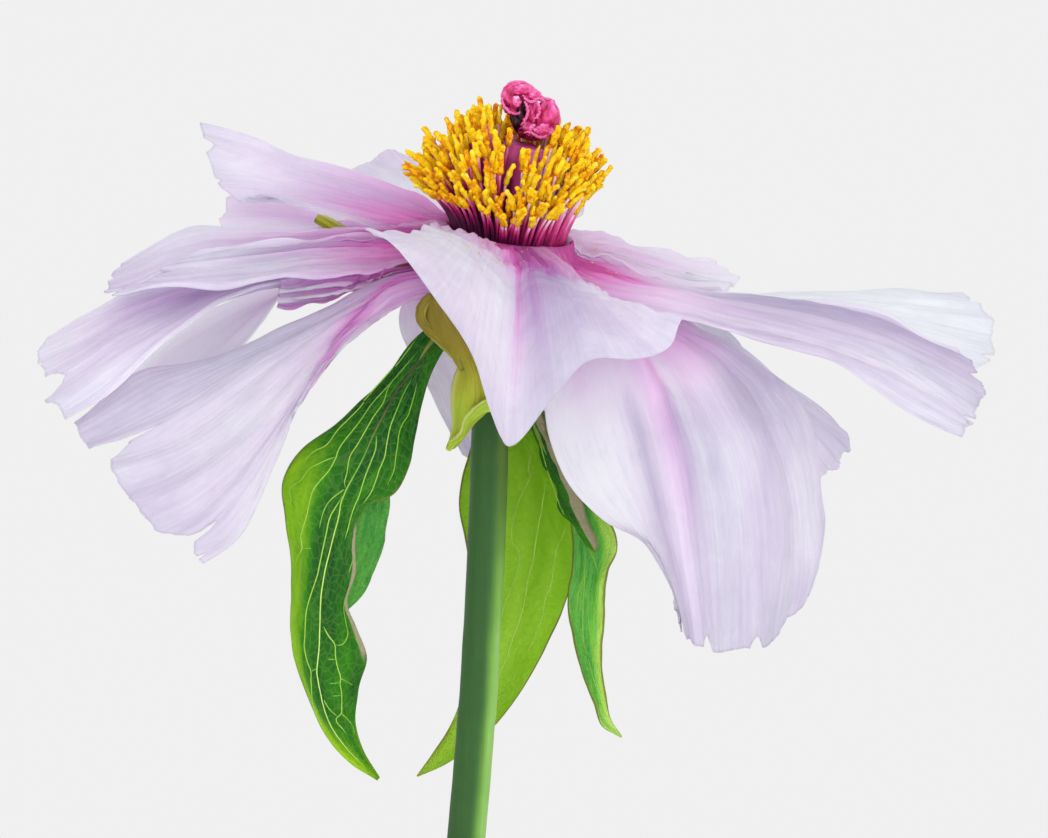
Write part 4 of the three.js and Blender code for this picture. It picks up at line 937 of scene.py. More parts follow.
def make_petal(name, own, seed):
    petal = {**PLAIN_PETAL, **own}
    phase = math.radians(petal["root"]) * 3
    rib_count, rib_height = petal["ribs"]

    def reach(v):
        cut = 0.5 * petal["scallop"] * (0.5 + 0.5 * math.sin(phase + 19 * v))
        cut += petal["teeth"] * 0.014 * (0.5 + 0.5 * grain(17 * v, 0.0, seed))
        cut += petal["teeth"] * 0.006 * abs(grain(75 * v, 3.0, seed))
        for centre, depth, half in petal["slits"]:
            cut += depth * max(0.0, 1 - abs(v - centre) / half) ** 0.6
        return 1 - cut - between(petal["outline"], v)

    def lift(u, v):
        body = smooth(0.12, 0.35, u)
        edge = smooth(0.75, 1.0, u)
        sides = smooth(0.75, 1.0, abs(2 * v - 1))
        drift = 0.5 * grain(2.2 * u, 3.0 * v, seed)
        high = petal["ruffle"] * u * u * math.sin(2 * math.pi * petal["waves"] * v + phase)
        high += petal["folds"] * body * math.sin(2 * math.pi * (5.0 * v + drift) + seed)
        high += petal["folds"] * body * 1.6 * grain(2.6 * u, 3.5 * v, seed + 9)
        wave = 2 * math.pi * (rib_count * v + 4 * drift)
        high += rib_height * smooth(0.25, 0.95, u) * math.sin(wave)
        wave = 2 * math.pi * (1.7 * rib_count * v + 6 * drift)
        high += 0.6 * rib_height * body * math.sin(wave + seed)
        crush = petal["crumple"] * smooth(0.08, 0.2, u) * (1 - smooth(0.3, 0.75, u))
        sharp = 1.6 * abs(grain(9 * u, 6 * v, seed + 5))
        high += crush * (0.7 - sharp - 0.5 * abs(grain(20 * u, 13 * v, seed)))
        creased_root = petal["crumple"] * smooth(0.1, 0.14, u) * (1 - smooth(0.22, 0.3, u))
        sharp = 0.5 * abs(grain(60 * u, 44 * v, seed + 3))
        high += creased_root * (0.9 * grain(36 * u, 26 * v, seed) - sharp)
        frill = 0.4 * math.sin(2 * math.pi * (4.5 * v + drift) + phase)
        high += edge * (frill + 0.5 * grain(9 * v, 4 * u, seed))
        wander = 3.2 * u + 0.4 * grain(3 * u, v, seed)
        high += body * sides * 0.5 * math.sin(2 * math.pi * wander + seed)
        for start, end, half, height in petal["creases"]:
            across = abs(v - (start + (end - start) * u)) / half
            high += body * height * max(0.0, 1 - across) ** 1.4
        return high

    def band(entry, u, v):
        start, finish, half, power, stop = entry
        across = (v - (start + (finish - start) * u)) / half
        return power * math.exp(-across * across) * (1 - smooth(stop * 0.5, stop, u))

    def blush(u, v):
        strength, end = petal["blush"]
        ragged = 0.12 * grain(11 * v, 1.5 * u, seed + 4)
        value = strength * (1 - smooth(0.05, 0.2 + end + ragged, u)) ** 1.2
        value += sum(band(streak, u, v) for streak in petal["streaks"])
        return value + 0.07 + 0.06 * grain(5 * v, 3 * u, seed + 6)

    # lavender-grey: a little at random, with the shade bands' painted shade, and their painted light where
    # below 0
    def shade(u, v):
        value = 0.03 + 0.2 * grain(2.5 * v, 2.5 * u, seed + 2)
        value += sum(band(entry, u, v) for entry in petal["shade_bands"])
        return (value - 0.36) * (1 - 0.3 * smooth(0.85, 1.0, u))

    grid = BROAD_GRID if len(petal["lines"]) >= BROAD_PETAL else NARROW_GRID
    bm = new_mesh("blush", "shade")
    paint = {"blush": blush, "shade": shade}
    add_sheet(bm, petal_net(petal), **grid, reach=reach, lift=lift, paint=paint)
    SKINS[name] = BVHTree.FromBMesh(bm)
    piece = make_piece(name + "_tissue", bm, [PETAL], [petal.get("stands_in", name)])
    thicken(piece, PETAL_THICKNESS)


for number, (name, petal) in enumerate(PETALS.items()):
    make_petal(name, petal, 3.7 * number + 1.3)

# ---- Sepals ----

# root is the sepal's azimuth on the receptacle in degrees. tones say how lime it is: the share of its
# length and its tone there. lines run from root to tip, as for petals.
SEPALS = {
    "sepal_front_left": dict(
        root=238, tones=[(0, 0.1), (0.35, 0.2), (0.55, 0.4), (0.75, 0.7), (1, 0.75)],
        lines=[
            [[-15.6, -10.6, -16], [-17.6, -12.2, -15.5], [-18, -14.6, -15], [-17, -17, -15],
             [-14, -19.6, -15], [-11, -22.6, -15.5], [-9.4, -25.3, -16], [-11, -27.8, -16],
             [-11.2, -33, -15.5], [-10.7, -37, -15], [-12, -41.3, -14]],
            [[-13.5, -10.8, -18.5], [-13.5, -15, -20], [-10.5, -20, -20.5], [-7.5, -25, -20],
             [-7.3, -31, -19.5], [-8.8, -36.5, -17.5], [-11.4, -41, -14.5]],
            [[-11.5, -11.5, -20], [-9, -17, -20.5], [-5.5, -24, -20], [-3.2, -29.5, -18.5],
             [-3.4, -33.2, -17], [-6.5, -35.5, -16], [-10.6, -40.4, -14.3]],
        ],
    ),
    "sepal_left": dict(
        root=146, tones=[(0, 0.4), (1, 0.55)],
        lines=[
            [[-15, -5, 16.5], [-28, 0.8, 16], [-38, 5.2, 15.5]],
            [[-17, -5.5, 15], [-29.5, -0.2, 14.5], [-38.3, 4.9, 14.5]],
            [[-18.5, -6, 12.8], [-30.5, -1, 12.8], [-38.4, 4.4, 13.5]],
        ],
    ),
    "sepal_right": dict(
        root=352, tones=[(0, 0.2), (1, 0.7)],
        lines=[
            [[16.5, -15.5, -7], [20, -26, -8], [20, -35, -6]],
            [[18, -14, -2], [23, -24, -2], [21, -35.5, -4]],
            [[17, -14, 4], [21, -24, 5], [20.5, -35, -2]],
        ],
    ),
    "sepal_back": dict(
        root=95, tones=[(0, 0.2), (1, 0.7)],
        lines=[
            [[5, -14.5, 18], [3, -26, 23], [-3, -35, 25]],
            [[-2, -14, 20], [-4, -25, 25], [-5, -35.5, 25.5]],
            [[-8, -14, 17], [-10, -25, 21], [-7, -35, 25]],
        ],
    ),
}
# The front left sepal curls over at its outer rim, and its tip is turned up.
SEPAL_FOLDS = {
    "sepal_rim": dict(
        tones=[(0, 0.12), (1, 0.4)],
        lines=[
            [[-15.6, -10.6, -16], [-17.6, -12.2, -15.5], [-18, -14.6, -15], [-17, -17, -15],
             [-14, -19.6, -15], [-11, -22.6, -15.5], [-9.4, -25.3, -16]],
            [[-15.6, -10.2, -18.2], [-17.5, -11.8, -17.9], [-17.9, -14.6, -17.4], [-16.8, -16.9, -17.4],
             [-13.8, -19.3, -18], [-10.9, -22.3, -18.6], [-9.3, -25.3, -18]],
            [[-14.4, -10.9, -18.7], [-15.9, -12.8, -18], [-16.4, -14.8, -17.4], [-15.6, -16.6, -17.3],
             [-12.9, -18.7, -18.4], [-10.2, -21.6, -19.8], [-8.9, -25.2, -18.6]],
        ],
    ),
    "sepal_turned_tip": dict(
        tones=[(0, 0.85), (1, 0.8)],
        lines=[
            [[-2.6, -33.4, -18.6], [-5.4, -34.2, -18.4], [-7.3, -35.6, -18.4], [-8.4, -38, -18],
             [-9.7, -39.6, -17.4], [-11.7, -41.3, -16.4]],
            [[-2.7, -30, -20.6], [-5.8, -31.9, -21.4], [-8.2, -34.4, -21.4], [-9.4, -37.2, -20.4],
             [-11, -39, -19], [-12.2, -41, -16.6]],
        ],
    ),
}
SEPAL_STATIONS = 12
SEPAL_SEAT = 2 * GAP
SEPAL_SHELF = 3.5
SEPAL_THICKNESS = 0.9
SEPAL_RIM = 0.02
FOLD_THICKNESS = 0.6
FOLD_RIM = 0.97


def make_sepal(name, net, tones, seed, rim_at, thickness, node_name):
    """Makes a sepal or a fold of one. rim_at is where across it its pale rim runs."""

    def lift(u, v):
        high = 0.3 * u * (2 * v - 1) ** 2 * math.sin(2 * math.pi * 2.5 * u)
        return high + 0.45 * grain(5 * u, 3 * v, seed) + 0.05 * math.sin(2 * math.pi * 8 * v)

    bm = new_mesh("shade", "rim")
    paint = {
        "shade": lambda u, v: between(tones, u) - 0.3 + 0.1 * grain(4 * u, 3 * v, seed + 2),
        "rim": lambda u, v: 0.55 * math.exp(-((v - rim_at) / 0.09) ** 2) * smooth(0.05, 0.2, u),
    }
    add_sheet(bm, net, rows=72, columns=32, lift=lift, paint=paint)
    thicken(make_piece(name, bm, [SEPAL], [node_name]), thickness)


def sepal_roots(root):
    """The first rows of a sepal's net, which stand out from the receptacle."""
    radius = between(RECEPTACLE_PROFILE, SEPAL_ROOT_HEIGHT) + SEPAL_SEAT
    turns = [math.radians(root) + side * SEPAL_ROOT_HALF_ANGLE for side in (-1, 0, 1)]
    return [
        [on_bloom(radius + out, turn, SEPAL_ROOT_HEIGHT - out / 4) for turn in turns]
        for out in (0.0, SEPAL_SHELF)
    ]


for number, (name, sepal) in enumerate(SEPALS.items()):
    net = sepal_roots(sepal["root"]) + net_rows(sepal["lines"], SEPAL_STATIONS)
    seed = 5.1 * number + 0.4
    make_sepal(name + "_tissue", net, sepal["tones"], seed, SEPAL_RIM, SEPAL_THICKNESS, name)
for number, (name, fold) in enumerate(SEPAL_FOLDS.items()):
    net = net_rows(fold["lines"], SEPAL_STATIONS)
    seed = 3.3 * number + 7.1
    make_sepal(name, net, fold["tones"], seed, FOLD_RIM, FOLD_THICKNESS, "sepal_front_left")

# ---- Leaves ----

# skins are the leaf's finishes on the side that its rows turn to and on the other. tones say how light
# its green is: at its stalk, halfway, near its tip, more along its first margin, more in its middle.
# midrib is the share of the leaf over which its thick midrib shows before it sinks into the blade.
# turned is a margin that is turned over and shows tan: the side it is on, how wide it is as a share
# of the leaf, and from where to where along it. lines are one margin, the midrib and the other
# margin, each from the stalk's root to the leaf's tip. veins are those that show, each by its radius
# in mm, how pale it is at both ends, and its line in the photograph: [right, up] in mm.
LEAVES = {
    "leaf_left": dict(
        skins=[LEAF_UPPER, LEAF_UNDER_PAINTED_GLOW], tones=(0.25, 0.28, 0.72, 0.5, -0.1),
        midrib=0.17, turned=(1, 0.05, 0.46, 0.76),
        lines=[
            [[-7.2, -12.5, -4], [-17, -17.5, -8], [-24, -26.5, -9.5], [-28, -31, -10.5], [-37, -38.8, -13.5],
             [-41.5, -41.5, -15], [-44.6, -47, -16.5], [-45.4, -51, -17], [-44.3, -55, -17],
             [-43.4, -59, -17], [-43.4, -68, -16.7], [-43, -77, -16], [-41.3, -88, -14.5],
             [-38.5, -95.2, -13], [-35, -101, -12], [-31, -105, -11], [-26.3, -107.8, -8]],
            [[-6.8, -14, -4.4], [-15, -19.5, -9], [-20.5, -29, -12.5], [-25.5, -37.5, -17],
             [-31.5, -48, -20.5], [-34.5, -56, -21.5], [-36.5, -66, -22], [-37.8, -76, -21],
             [-38, -85, -19.5], [-35.5, -94, -17], [-31.5, -101, -13], [-26.2, -107.6, -8.3]],
            [[-6.4, -15.5, -4], [-12.8, -21, -8.5], [-17.3, -31.5, -11], [-18.6, -38.5, -13.5],
             [-19.6, -44, -16], [-22, -49.2, -19], [-25.5, -52.2, -20.5], [-29, -53.4, -21.5],
             [-31, -56, -22.5], [-30.3, -62, -23.5], [-30.8, -67, -22], [-32.4, -71, -20],
             [-32.3, -74.5, -18.5], [-28.4, -80.7, -15.5], [-29.2, -86, -14.5], [-30.8, -92, -13],
             [-30.4, -99.5, -11.5], [-26, -107.3, -8]],
        ],
        veins=[
            (0.19, 0.0, 1.0, [
                (-12.5, -18.6), (-15.4, -20.6), (-17.6, -23.5), (-20, -26.9), (-22.4, -30), (-23.6, -32.2),
                (-25.1, -35.1), (-26.8, -38.3), (-28.2, -41.4), (-29.7, -44.6), (-32, -48.7), (-32.9, -50.8),
                (-33.4, -52.1), (-33.8, -54.7), (-34.4, -57), (-35.1, -59.7), (-35.8, -62.5), (-36.5, -65.2),
                (-37, -68), (-37.4, -70.5), (-37.6, -74), (-37.8, -78), (-37.9, -80.8), (-38.3, -84.9),
                (-38.3, -86.7), (-37.6, -90.2), (-37, -92.8), (-36.1, -95.4), (-34.8, -98), (-33.3, -100.1),
                (-31.8, -102.1), (-29.6, -104.3), (-28.3, -105.6),
            ]),
            (0.17, 0.8, 0.8, [
                (-32.6, -50), (-34.7, -53.3), (-35.7, -55.3), (-36.4, -58.6), (-37, -61.3), (-37.7, -64.7),
                (-38.1, -66.6), (-39, -69.3), (-39.9, -72.1), (-40.4, -74.8), (-40.6, -79.4), (-40.7, -80.8),
                (-40.2, -83.6), (-39.4, -85.8), (-39.4, -87.5), (-39.1, -91.5), (-38.7, -93.8),
                (-37.6, -96.2), (-36.3, -98.8),
            ]),
            (0.18, 0.6, 0.8, [
                (-18.3, -19.4), (-21.9, -24.2), (-24.8, -26.9), (-27.5, -30), (-29.2, -32.7), (-31.8, -35.4),
                (-34, -37.6), (-36.2, -40.5), (-38.6, -41.7), (-40.1, -43.1), (-40.9, -44.8),
            ]),
            (0.18, 0.5, 0.8, [
                (-17.8, -21.6), (-23.1, -27.9), (-27, -32.2), (-29.7, -36.1), (-32.1, -39), (-33.8, -41.4),
                (-34.3, -42.9), (-35.7, -45.5), (-37.7, -47.8), (-39, -49.6), (-39.6, -51.7), (-40.3, -54.9),
                (-40.9, -56.7), (-41.4, -59), (-41.1, -61.1), (-42.1, -62.9), (-42.5, -65),
            ]),
            (0.16, 0.8, 0.7, [
                (-34.3, -42.9), (-36, -43.4), (-37.9, -44.3), (-39.8, -45.3), (-41.4, -47.5), (-43.5, -48.9),
                (-43.6, -50.1), (-43.3, -51.2), (-43.6, -52.8),
            ]),
            (0.17, 0.4, 0.8, [
                (-19, -23), (-23.4, -28.4), (-24.8, -32), (-26.8, -34.9), (-28.5, -37.8), (-30.1, -40.5),
                (-31.6, -42.9), (-32.2, -46.2), (-32.7, -48), (-32.3, -49.4),
            ]),
            (0.16, 0.7, 0.7, [
                (-32.6, -49.2), (-33.8, -50.1), (-35.4, -51.4), (-36.6, -53.1), (-37.3, -55.3),
                (-37.7, -57.2),
            ]),
            (0.17, 0.5, 0.8, [
                (-19, -26.9), (-20.7, -29.8), (-22.4, -33.7), (-23.6, -36.8), (-24.3, -40), (-24.8, -42.9),
                (-25.8, -45.3), (-26.6, -47.8), (-27.6, -50.1), (-29.5, -52.8),
            ]),
            (0.17, 0.7, 0.8, [
                (-26.3, -38.3), (-26.5, -41.2), (-27.5, -43.9), (-28.7, -47), (-29.8, -50.5), (-30.8, -52.8),
                (-31.5, -55.1), (-32, -57.2), (-32.7, -59.5),
            ]),
            (0.16, 0.6, 0.6, [(-30.8, -62.5), (-31.3, -64.1), (-32, -66.1)]),
            (0.16, 0.6, 0.7, [
                (-18.3, -27.9), (-18.8, -30), (-19.7, -33.2), (-20.2, -34.6), (-21.2, -36.1), (-21.9, -38),
                (-22.2, -40.2), (-22.6, -42.9), (-23, -45.7), (-24.4, -48.7),
            ]),
            (0.16, 0.8, 0.8, [
                (-37.3, -76.3), (-36.1, -78.7), (-34.9, -80.4), (-34.8, -82.6), (-34.4, -84.9),
                (-33.8, -86.9), (-33.9, -88.4), (-33.6, -90.4), (-33.7, -94.5), (-34.5, -94.8), (-34.5, -96),
                (-33.3, -97.5), (-32.4, -98.8),
            ]),
            (0.15, 0.7, 0.6, [
                (-34.9, -80.4), (-33.4, -80.4), (-32.3, -78.4), (-32.7, -76), (-33.1, -73.2), (-32.7, -70.5),
            ]),
            (0.15, 0.7, 0.7, [(-37, -91.5), (-35.9, -93.4), (-34.5, -94.8)]),
            (0.15, 0.7, 0.6, [(-33.8, -87.2), (-31.3, -88.6)]),
            (0.15, 0.7, 0.6, [(-33.7, -94.3), (-32.4, -95.6), (-31.4, -97.1), (-31.1, -98.8)]),
            (0.15, 0.6, 0.6, [(-30.8, -79.1), (-29.8, -81)]),
            (0.15, 0.6, 0.6, [(-41.1, -61.1), (-39.3, -61.1)]),
            (0.15, 0.6, 0.6, [(-39.4, -85.8), (-38.3, -85.2)]),
            (0.15, 0.6, 0.6, [(-36.3, -83.4), (-34.8, -83.4)]),
            (0.15, 0.6, 0.6, [(-35.9, -88.3), (-33.9, -88.1)]),
            (0.15, 0.6, 0.6, [(-35.4, -90.8), (-33.7, -90.7)]),
        ],
    ),
    "leaf_back": dict(
        skins=[LEAF_UPPER, LEAF_UNDER_PAINTED_GLOW], tones=(0.5, 0.75, 0.95, -0.1, 0.05),
        midrib=0.12,
        lines=[
            [[-1.1, -21, 6.9], [5, -35, 11], [8.5, -41.5, 12.5], [11.3, -50, 14.3], [13.4, -57.5, 15],
             [13, -64, 14.5], [12.2, -70, 13.3], [10, -76, 12.6], [7, -82, 12], [3, -89, 12], [-1, -95, 12],
             [-5.5, -99.5, 12], [-11, -103.8, 12], [-16, -106.2, 11.5], [-18.2, -107.2, 11]],
            [[-2.5, -21, 7.1], [0, -34, 13], [2, -45, 16], [3.3, -57, 17], [1.8, -70, 16], [-2, -82, 14.5],
             [-7, -93, 13.5], [-12.5, -101, 12.3], [-18.3, -107.1, 11]],
            [[-3.9, -21, 6.9], [-5.2, -34, 10], [-8.2, -43.5, 12.5], [-9.7, -50.5, 13.5], [-9.3, -56, 14],
             [-8, -63, 14], [-7.5, -75, 14], [-8, -86, 13.3], [-10.3, -94.5, 12.5], [-13, -99.5, 12],
             [-18.4, -107, 11]],
        ],
        veins=[
            (0.17, 0.85, 0.85, [
                (4.9, -40.7), (4.5, -42.7), (4.1, -45.1), (4.5, -46.8), (2.9, -49.7), (1.5, -53.1),
                (0.9, -56), (0.6, -58.7), (1.2, -60.6), (2.2, -62), (2.1, -64.5), (1.5, -66.9), (1.2, -69.3),
            ]),
            (0.19, 0.88, 0.9, [
                (7.8, -46.3), (7.3, -50), (6.7, -53.6), (6, -57.2), (5.4, -60.8), (5.1, -63.3), (4.1, -66.9),
                (3.4, -71.4), (2.3, -75.7), (1.1, -78.8), (-0.2, -83), (-1.7, -86.4), (-2.6, -88.5),
                (-6.5, -94), (-11, -99.5),
            ]),
            (0.17, 0.85, 0.85, [
                (11.7, -56.5), (10.9, -58.9), (9.7, -61.6), (9.2, -65.7), (8.5, -69.3), (8.7, -71.4),
            ]),
            (0.16, 0.85, 0.85, [(9.4, -67), (7.6, -71), (6.9, -75), (5.2, -79.5), (3.6, -83)]),
            (0.16, 0.85, 0.85, [(1.5, -66.9), (-0.6, -72), (-2.4, -78), (-4.4, -84), (-7, -89)]),
        ],
    ),
    "leaf_folded": dict(
        skins=[LEAF_UNDER_PAINTED_GLOW, LEAF_UPPER], tones=(0.2, 0.2, 0.6, 0.0, 0.0),
        midrib=0.3, turned=(0, 0.34, 0.0, 1.0),
        lines=[
            [[2, -24, -1.6], [7, -36.5, -5], [10.2, -43, -6.5], [13.2, -49.5, -7], [15.6, -55, -6.5],
             [18, -60.8, -4], [17.9, -61.8, -3.2]],
            [[2.2, -24, 0], [6, -38, 0], [10.2, -47.5, -1], [12, -53.5, -2], [14.5, -57.5, -2.5],
             [17.6, -61.8, -3]],
            [[2, -24, 1.6], [5, -38.5, 3], [8.4, -47, 3.5], [10, -50.5, 3.5], [10.2, -52.8, 3.2],
             [12.5, -56, 2], [15.8, -60.5, -1], [17.4, -61.9, -2.8]],
        ],
        veins=[
            (0.16, 0.7, 0.8, [(6.2, -38.4), (8.2, -45.6), (9.8, -50.6), (11.8, -54.8), (13.4, -57.4)]),
        ],
    ),
    "leaf_right": dict(
        skins=[LEAF_UNDER_PAINTED_GLOW, LEAF_YOUNG], tones=(0.2, 0.35, 0.95, 0.6, -0.1),
        midrib=0.15,
        lines=[
            [[1.3, -29, 3.4], [12.5, -39, 7], [17, -50.5, 8], [20.5, -56, 7], [21.9, -58.3, 6.5],
             [21.5, -60.5, 6.3], [20.3, -65, 6], [19, -73, 6], [18.5, -80, 6], [19, -87, 5.8], [20, -93, 5.3],
             [20.5, -95.3, 5], [20.4, -96.5, 4.8], [22.9, -99, 4]],
            [[0.1, -30, 4.2], [10, -40, 8.5], [15, -52, 9.5], [17, -62, 9.3], [16, -72, 9], [16, -82, 8],
             [17.8, -90, 6.8], [19.3, -96, 5], [22.8, -99.1, 4]],
            [[-1.1, -31, 4.4], [7.5, -41, 7.5], [12.8, -54, 7], [13, -62, 6.7], [12.5, -70, 6.4],
             [12.8, -76, 6.2], [14, -83, 6], [17.2, -91, 5.2], [18.2, -95.5, 5], [19.8, -98, 4.6],
             [22.7, -99.3, 4]],
        ],
        veins=[
            (0.17, 0.65, 0.7, [
                (15.7, -60.6), (15.3, -64.5), (15.2, -68), (14.9, -73.5), (15, -79.7), (16.4, -84.6),
                (18.4, -91), (20.2, -96.5),
            ]),
            (0.16, 0.65, 0.7, [(16.4, -69.3), (16.2, -75), (17, -80.6), (17.9, -85.8)]),
            (0.16, 0.65, 0.7, [(15.7, -60.6), (17.4, -63.6), (18.4, -67), (18.2, -72)]),
            (0.15, 0.65, 0.7, [(15.2, -66.5), (14, -70), (13.6, -74)]),
        ],
    ),
}
# the left leaf's side lobe
LEFT_LOBE = dict(
    skins=[LEAF_YOUNG, LEAF_UNDER_PAINTED_GLOW], tones=(0.2, 0.25, 0.3, 0.0, 0.0),
    lines=[
        [[-30, -40, -15.5], [-30, -49, -15], [-32, -61, -14], [-33.8, -73, -14]],
        [[-27, -39, -17], [-27, -49, -14], [-28.5, -61, -11.5], [-33, -73.4, -13.5]],
        [[-24, -39, -17], [-23.7, -49, -13], [-24.2, -55, -11.5], [-25.5, -62, -10.5], [-29, -70, -11.5],
         [-32.4, -73.6, -13]],
    ],
)
LEAF_STATIONS = 16
LEAF_THICKNESS = 0.5
MIDRIB_STEPS = 40
VEIN_STEP = 0.9  # how far apart a vein is laid on the blade, in mm
VEIN_LEAP = 3.0  # a longer step than this, in mm, has missed the blade


def make_blade(name, leaf, rows, columns, seed, nodes):
    """Makes a leaf's blade and returns its surface, to lay veins on."""
    stalk, half, tip, first_margin, middle = leaf["tones"]
    side, width, start, end = leaf.get("turned", (0, 0.0, 0.0, 0.0))

    def lift(u, v):
        edge = (2 * v - 1) ** 2
        high = 0.5 * math.sin(math.pi * u) * edge * math.sin(2 * math.pi * 4.5 * u + 3 * v)
        high += 0.7 * math.sin(math.pi * u) * grain(8 * u, 3 * v, seed)
        high += 0.25 * math.sin(math.pi * u) * grain(26 * u, 9 * v, seed + 4)
        return high + 0.3 * (1 - math.exp(-((2 * v - 1) / 0.12) ** 2)) * math.sin(math.pi * u)

    def tone(u, v):
        along = between([(0, stalk), (0.25, stalk), (0.5, half), (0.8, half), (1, tip)], u)
        bulge = first_margin * math.exp(-((v - 0.05) / 0.22) ** 2) * smooth(0.28, 0.42, u)
        core = middle * math.exp(-((v - 0.5) / 0.2) ** 2)
        return along + bulge + core - 0.4 + 0.12 * grain(6 * u, 3 * v, seed + 3)

    def turned(u, v):
        inwards = abs(v - side)
        if inwards > width:
            return 0.0
        return 0.85 * smooth(0.0, 0.03, u - start) * smooth(0.0, 0.03, end - u)

    bm = new_mesh("shade", "rim")
    add_sheet(
        bm, net_rows(leaf["lines"], LEAF_STATIONS), rows=rows, columns=columns,
        lift=lift, paint={"shade": tone, "rim": turned},
    )
    surface = BVHTree.FromBMesh(bm)
    thicken(make_piece(name, bm, leaf["skins"], nodes), LEAF_THICKNESS, underside=1)
    return surface


IN_FRONT = -0.8 * VIEW_DISTANCE  # where the lines of sight start


def on_surface(surface, right, up, lift=0.25):
    """Where the line of sight through (right, up) mm of the photograph meets a surface, raised
    towards the viewer by lift in mm, or None where it misses."""
    start = seen([right, up, IN_FRONT])
    sight = (seen([right, up, 0]) - start).normalized()
    place, normal = surface.ray_cast(start, sight)[:2]
    return place and place - normal * (math.copysign(lift, normal.dot(sight)) * MM)


def make_midrib(name, line, reach):
    """The leaf's stalk and midrib, thinning along its own middle line as far as the given share."""
    points = [seen(point) for point in line]
    bm = new_mesh("shade")
    stops = [reach * k / MIDRIB_STEPS for k in range(MIDRIB_STEPS + 1)]
    add_rod(
        bm, lambda t: spline(points, t), stops, sides=10,
        radius_at=lambda t, turn: min(0.24 + 0.7 * (1 - t) ** 3, 6 * (reach - t)),
        paint={"shade": lambda t, turn: 0.1 + 0.3 * t},
    )
    close_seams(bm)
    make_piece(name, bm, [VEIN])


def make_veins(name, surface, veins):
    """The traced veins of a leaf, half sunk in its skin."""
    bm = new_mesh("shade")
    for radius, pale_start, pale_end, line in veins:
        flat = [Vector((right, up, 0)) for right, up in line]
        length = sum((b - a).length for a, b in zip(flat, flat[1:]))
        steps = spread(flat, 2 + round(length / VEIN_STEP))
        laid = [place for place in (on_surface(surface, *step.xy) for step in steps) if place]
        laid = laid[:1] + [b for a, b in zip(laid, laid[1:]) if (b - a).length < VEIN_LEAP * MM]
        if len(laid) < 3:
            continue

        def shade(t, turn):
            return pale_start + (pale_end - pale_start) * smooth(0.05, 0.55, t) - 0.25

        rings = 2 * len(laid)
        add_rod(
            bm, lambda t: spline(laid, t), [k / rings for k in range(rings + 1)], sides=6,
            radius_at=lambda t, turn: 0.88 * radius * min(1.0, 12 * t, 12 * (1 - t)) * (1 - 0.3 * t),
            paint={"shade": shade},
        )
    close_seams(bm)
    make_piece(name, bm, [VEIN])


for number, (name, leaf) in enumerate(LEAVES.items()):
    seed = 7.3 * number + 2.2
    surface = make_blade(name + "_blade", leaf, rows=150, columns=44, seed=seed, nodes=[name])
    make_midrib(name + "_midrib", leaf["lines"][1], leaf["midrib"])
    make_veins(name + "_veins", surface, leaf["veins"])
make_blade("leaf_left_lobe", LEFT_LOBE, rows=70, columns=26, seed=8.8, nodes=[])

# ---- Stem and receptacle ----

LIP_LOW = VASE_HEIGHT - VASE_LIP_HEIGHT
STEM_FOOT = Vector((-7, 0, VASE_FLOOR + 2 * GAP)) * MM
STEM_AT_LIP = Vector((VASE_NECK_RADIUS - VASE_WALL - STEM_FOOT_RADIUS - GAP, 0, LIP_LOW)) * MM
STEM_LINE = [[-7, -103, 0], [-5.8, -88, 0], [-4.6, -67, 0], [-3.9, -50, 0], [-3.4, -34, 0]]
STEM_POINTS = (
    [STEM_FOOT, STEM_FOOT.lerp(STEM_AT_LIP, 0.5), STEM_AT_LIP]
    + [seen(point) for point in STEM_LINE]
    + [on_bloom(0, 0, -2 * RECEPTACLE_STEP), on_bloom(0, 0, -RECEPTACLE_STEP), on_bloom(0, 0, 0)]
)


def make_stem():
    last = len(STEM_POINTS) - 1

    def radius_at(t, turn):
        if t <= 0 or t >= 1:
            return 0.0
        place = t * last
        height = (place - last) * RECEPTACLE_STEP
        if height > RECEPTACLE_PROFILE[0][0]:
            base = between(RECEPTACLE_PROFILE, min(height, 0))
        else:
            base = STEM_FOOT_RADIUS + (STEM_RADIUS - STEM_FOOT_RADIUS) * place / last
        return base + 0.03 * math.sin(7 * turn + 9 * t) + 0.08 * grain(3 * math.cos(turn), 40 * t, 5.5)

    # painted light: paler on the right side, towards the lights, darker on the left, and less lit towards the
    # top, where the petals shade the stem
    def painted_lit_side(t, turn):
        side = smooth(0.35, 0.98, math.cos(turn + 0.3))
        return -0.1 + side * (0.85 - 0.35 * smooth(0.42, 0.62, t))

    bm = new_mesh("painted_lit_side")
    add_rod(
        bm, lambda t: spline(STEM_POINTS, t), closed_stops(160), sides=40,
        radius_at=radius_at, paint={"painted_lit_side": painted_lit_side},
    )
    close_seams(bm)
    make_piece("stem_and_receptacle", bm, [stem_skin()], ["stem"])


make_stem()

# ---- Stamens ----

STAMENS_IN_ROWS = (84, 82, 80, 76, 68, 56, 42)
STAMEN_RING_RADIUS = 11.0
STAMEN_ROW_STEP = 0.72
# lean in degrees and length in mm: on average, how much more to the right and how much more behind
OUTER_LEAN = (30.5, -12.5, -4)
OUTER_LENGTH = (16.2, 0.3, 2.6)
INNER_LEAN = 8
INNER_LENGTH = (23.7, -1.0, 0.3)
# azimuth and length of the few outer stamens that hang lower than the others
DROOPING = [(263, 9.6), (284, 10.6)]
DROOPING_LEAN = 42
# where the inner stamens leave the carpels in view: azimuth, half-width in degrees and how much
# shorter they are there
CARPEL_GAPS = [(264, 12, 1.0), (290, 12, 0.4)]


def around(measure, azimuth):
    average, right, behind = measure
    return average + right * math.cos(azimuth) + behind * math.sin(azimuth)


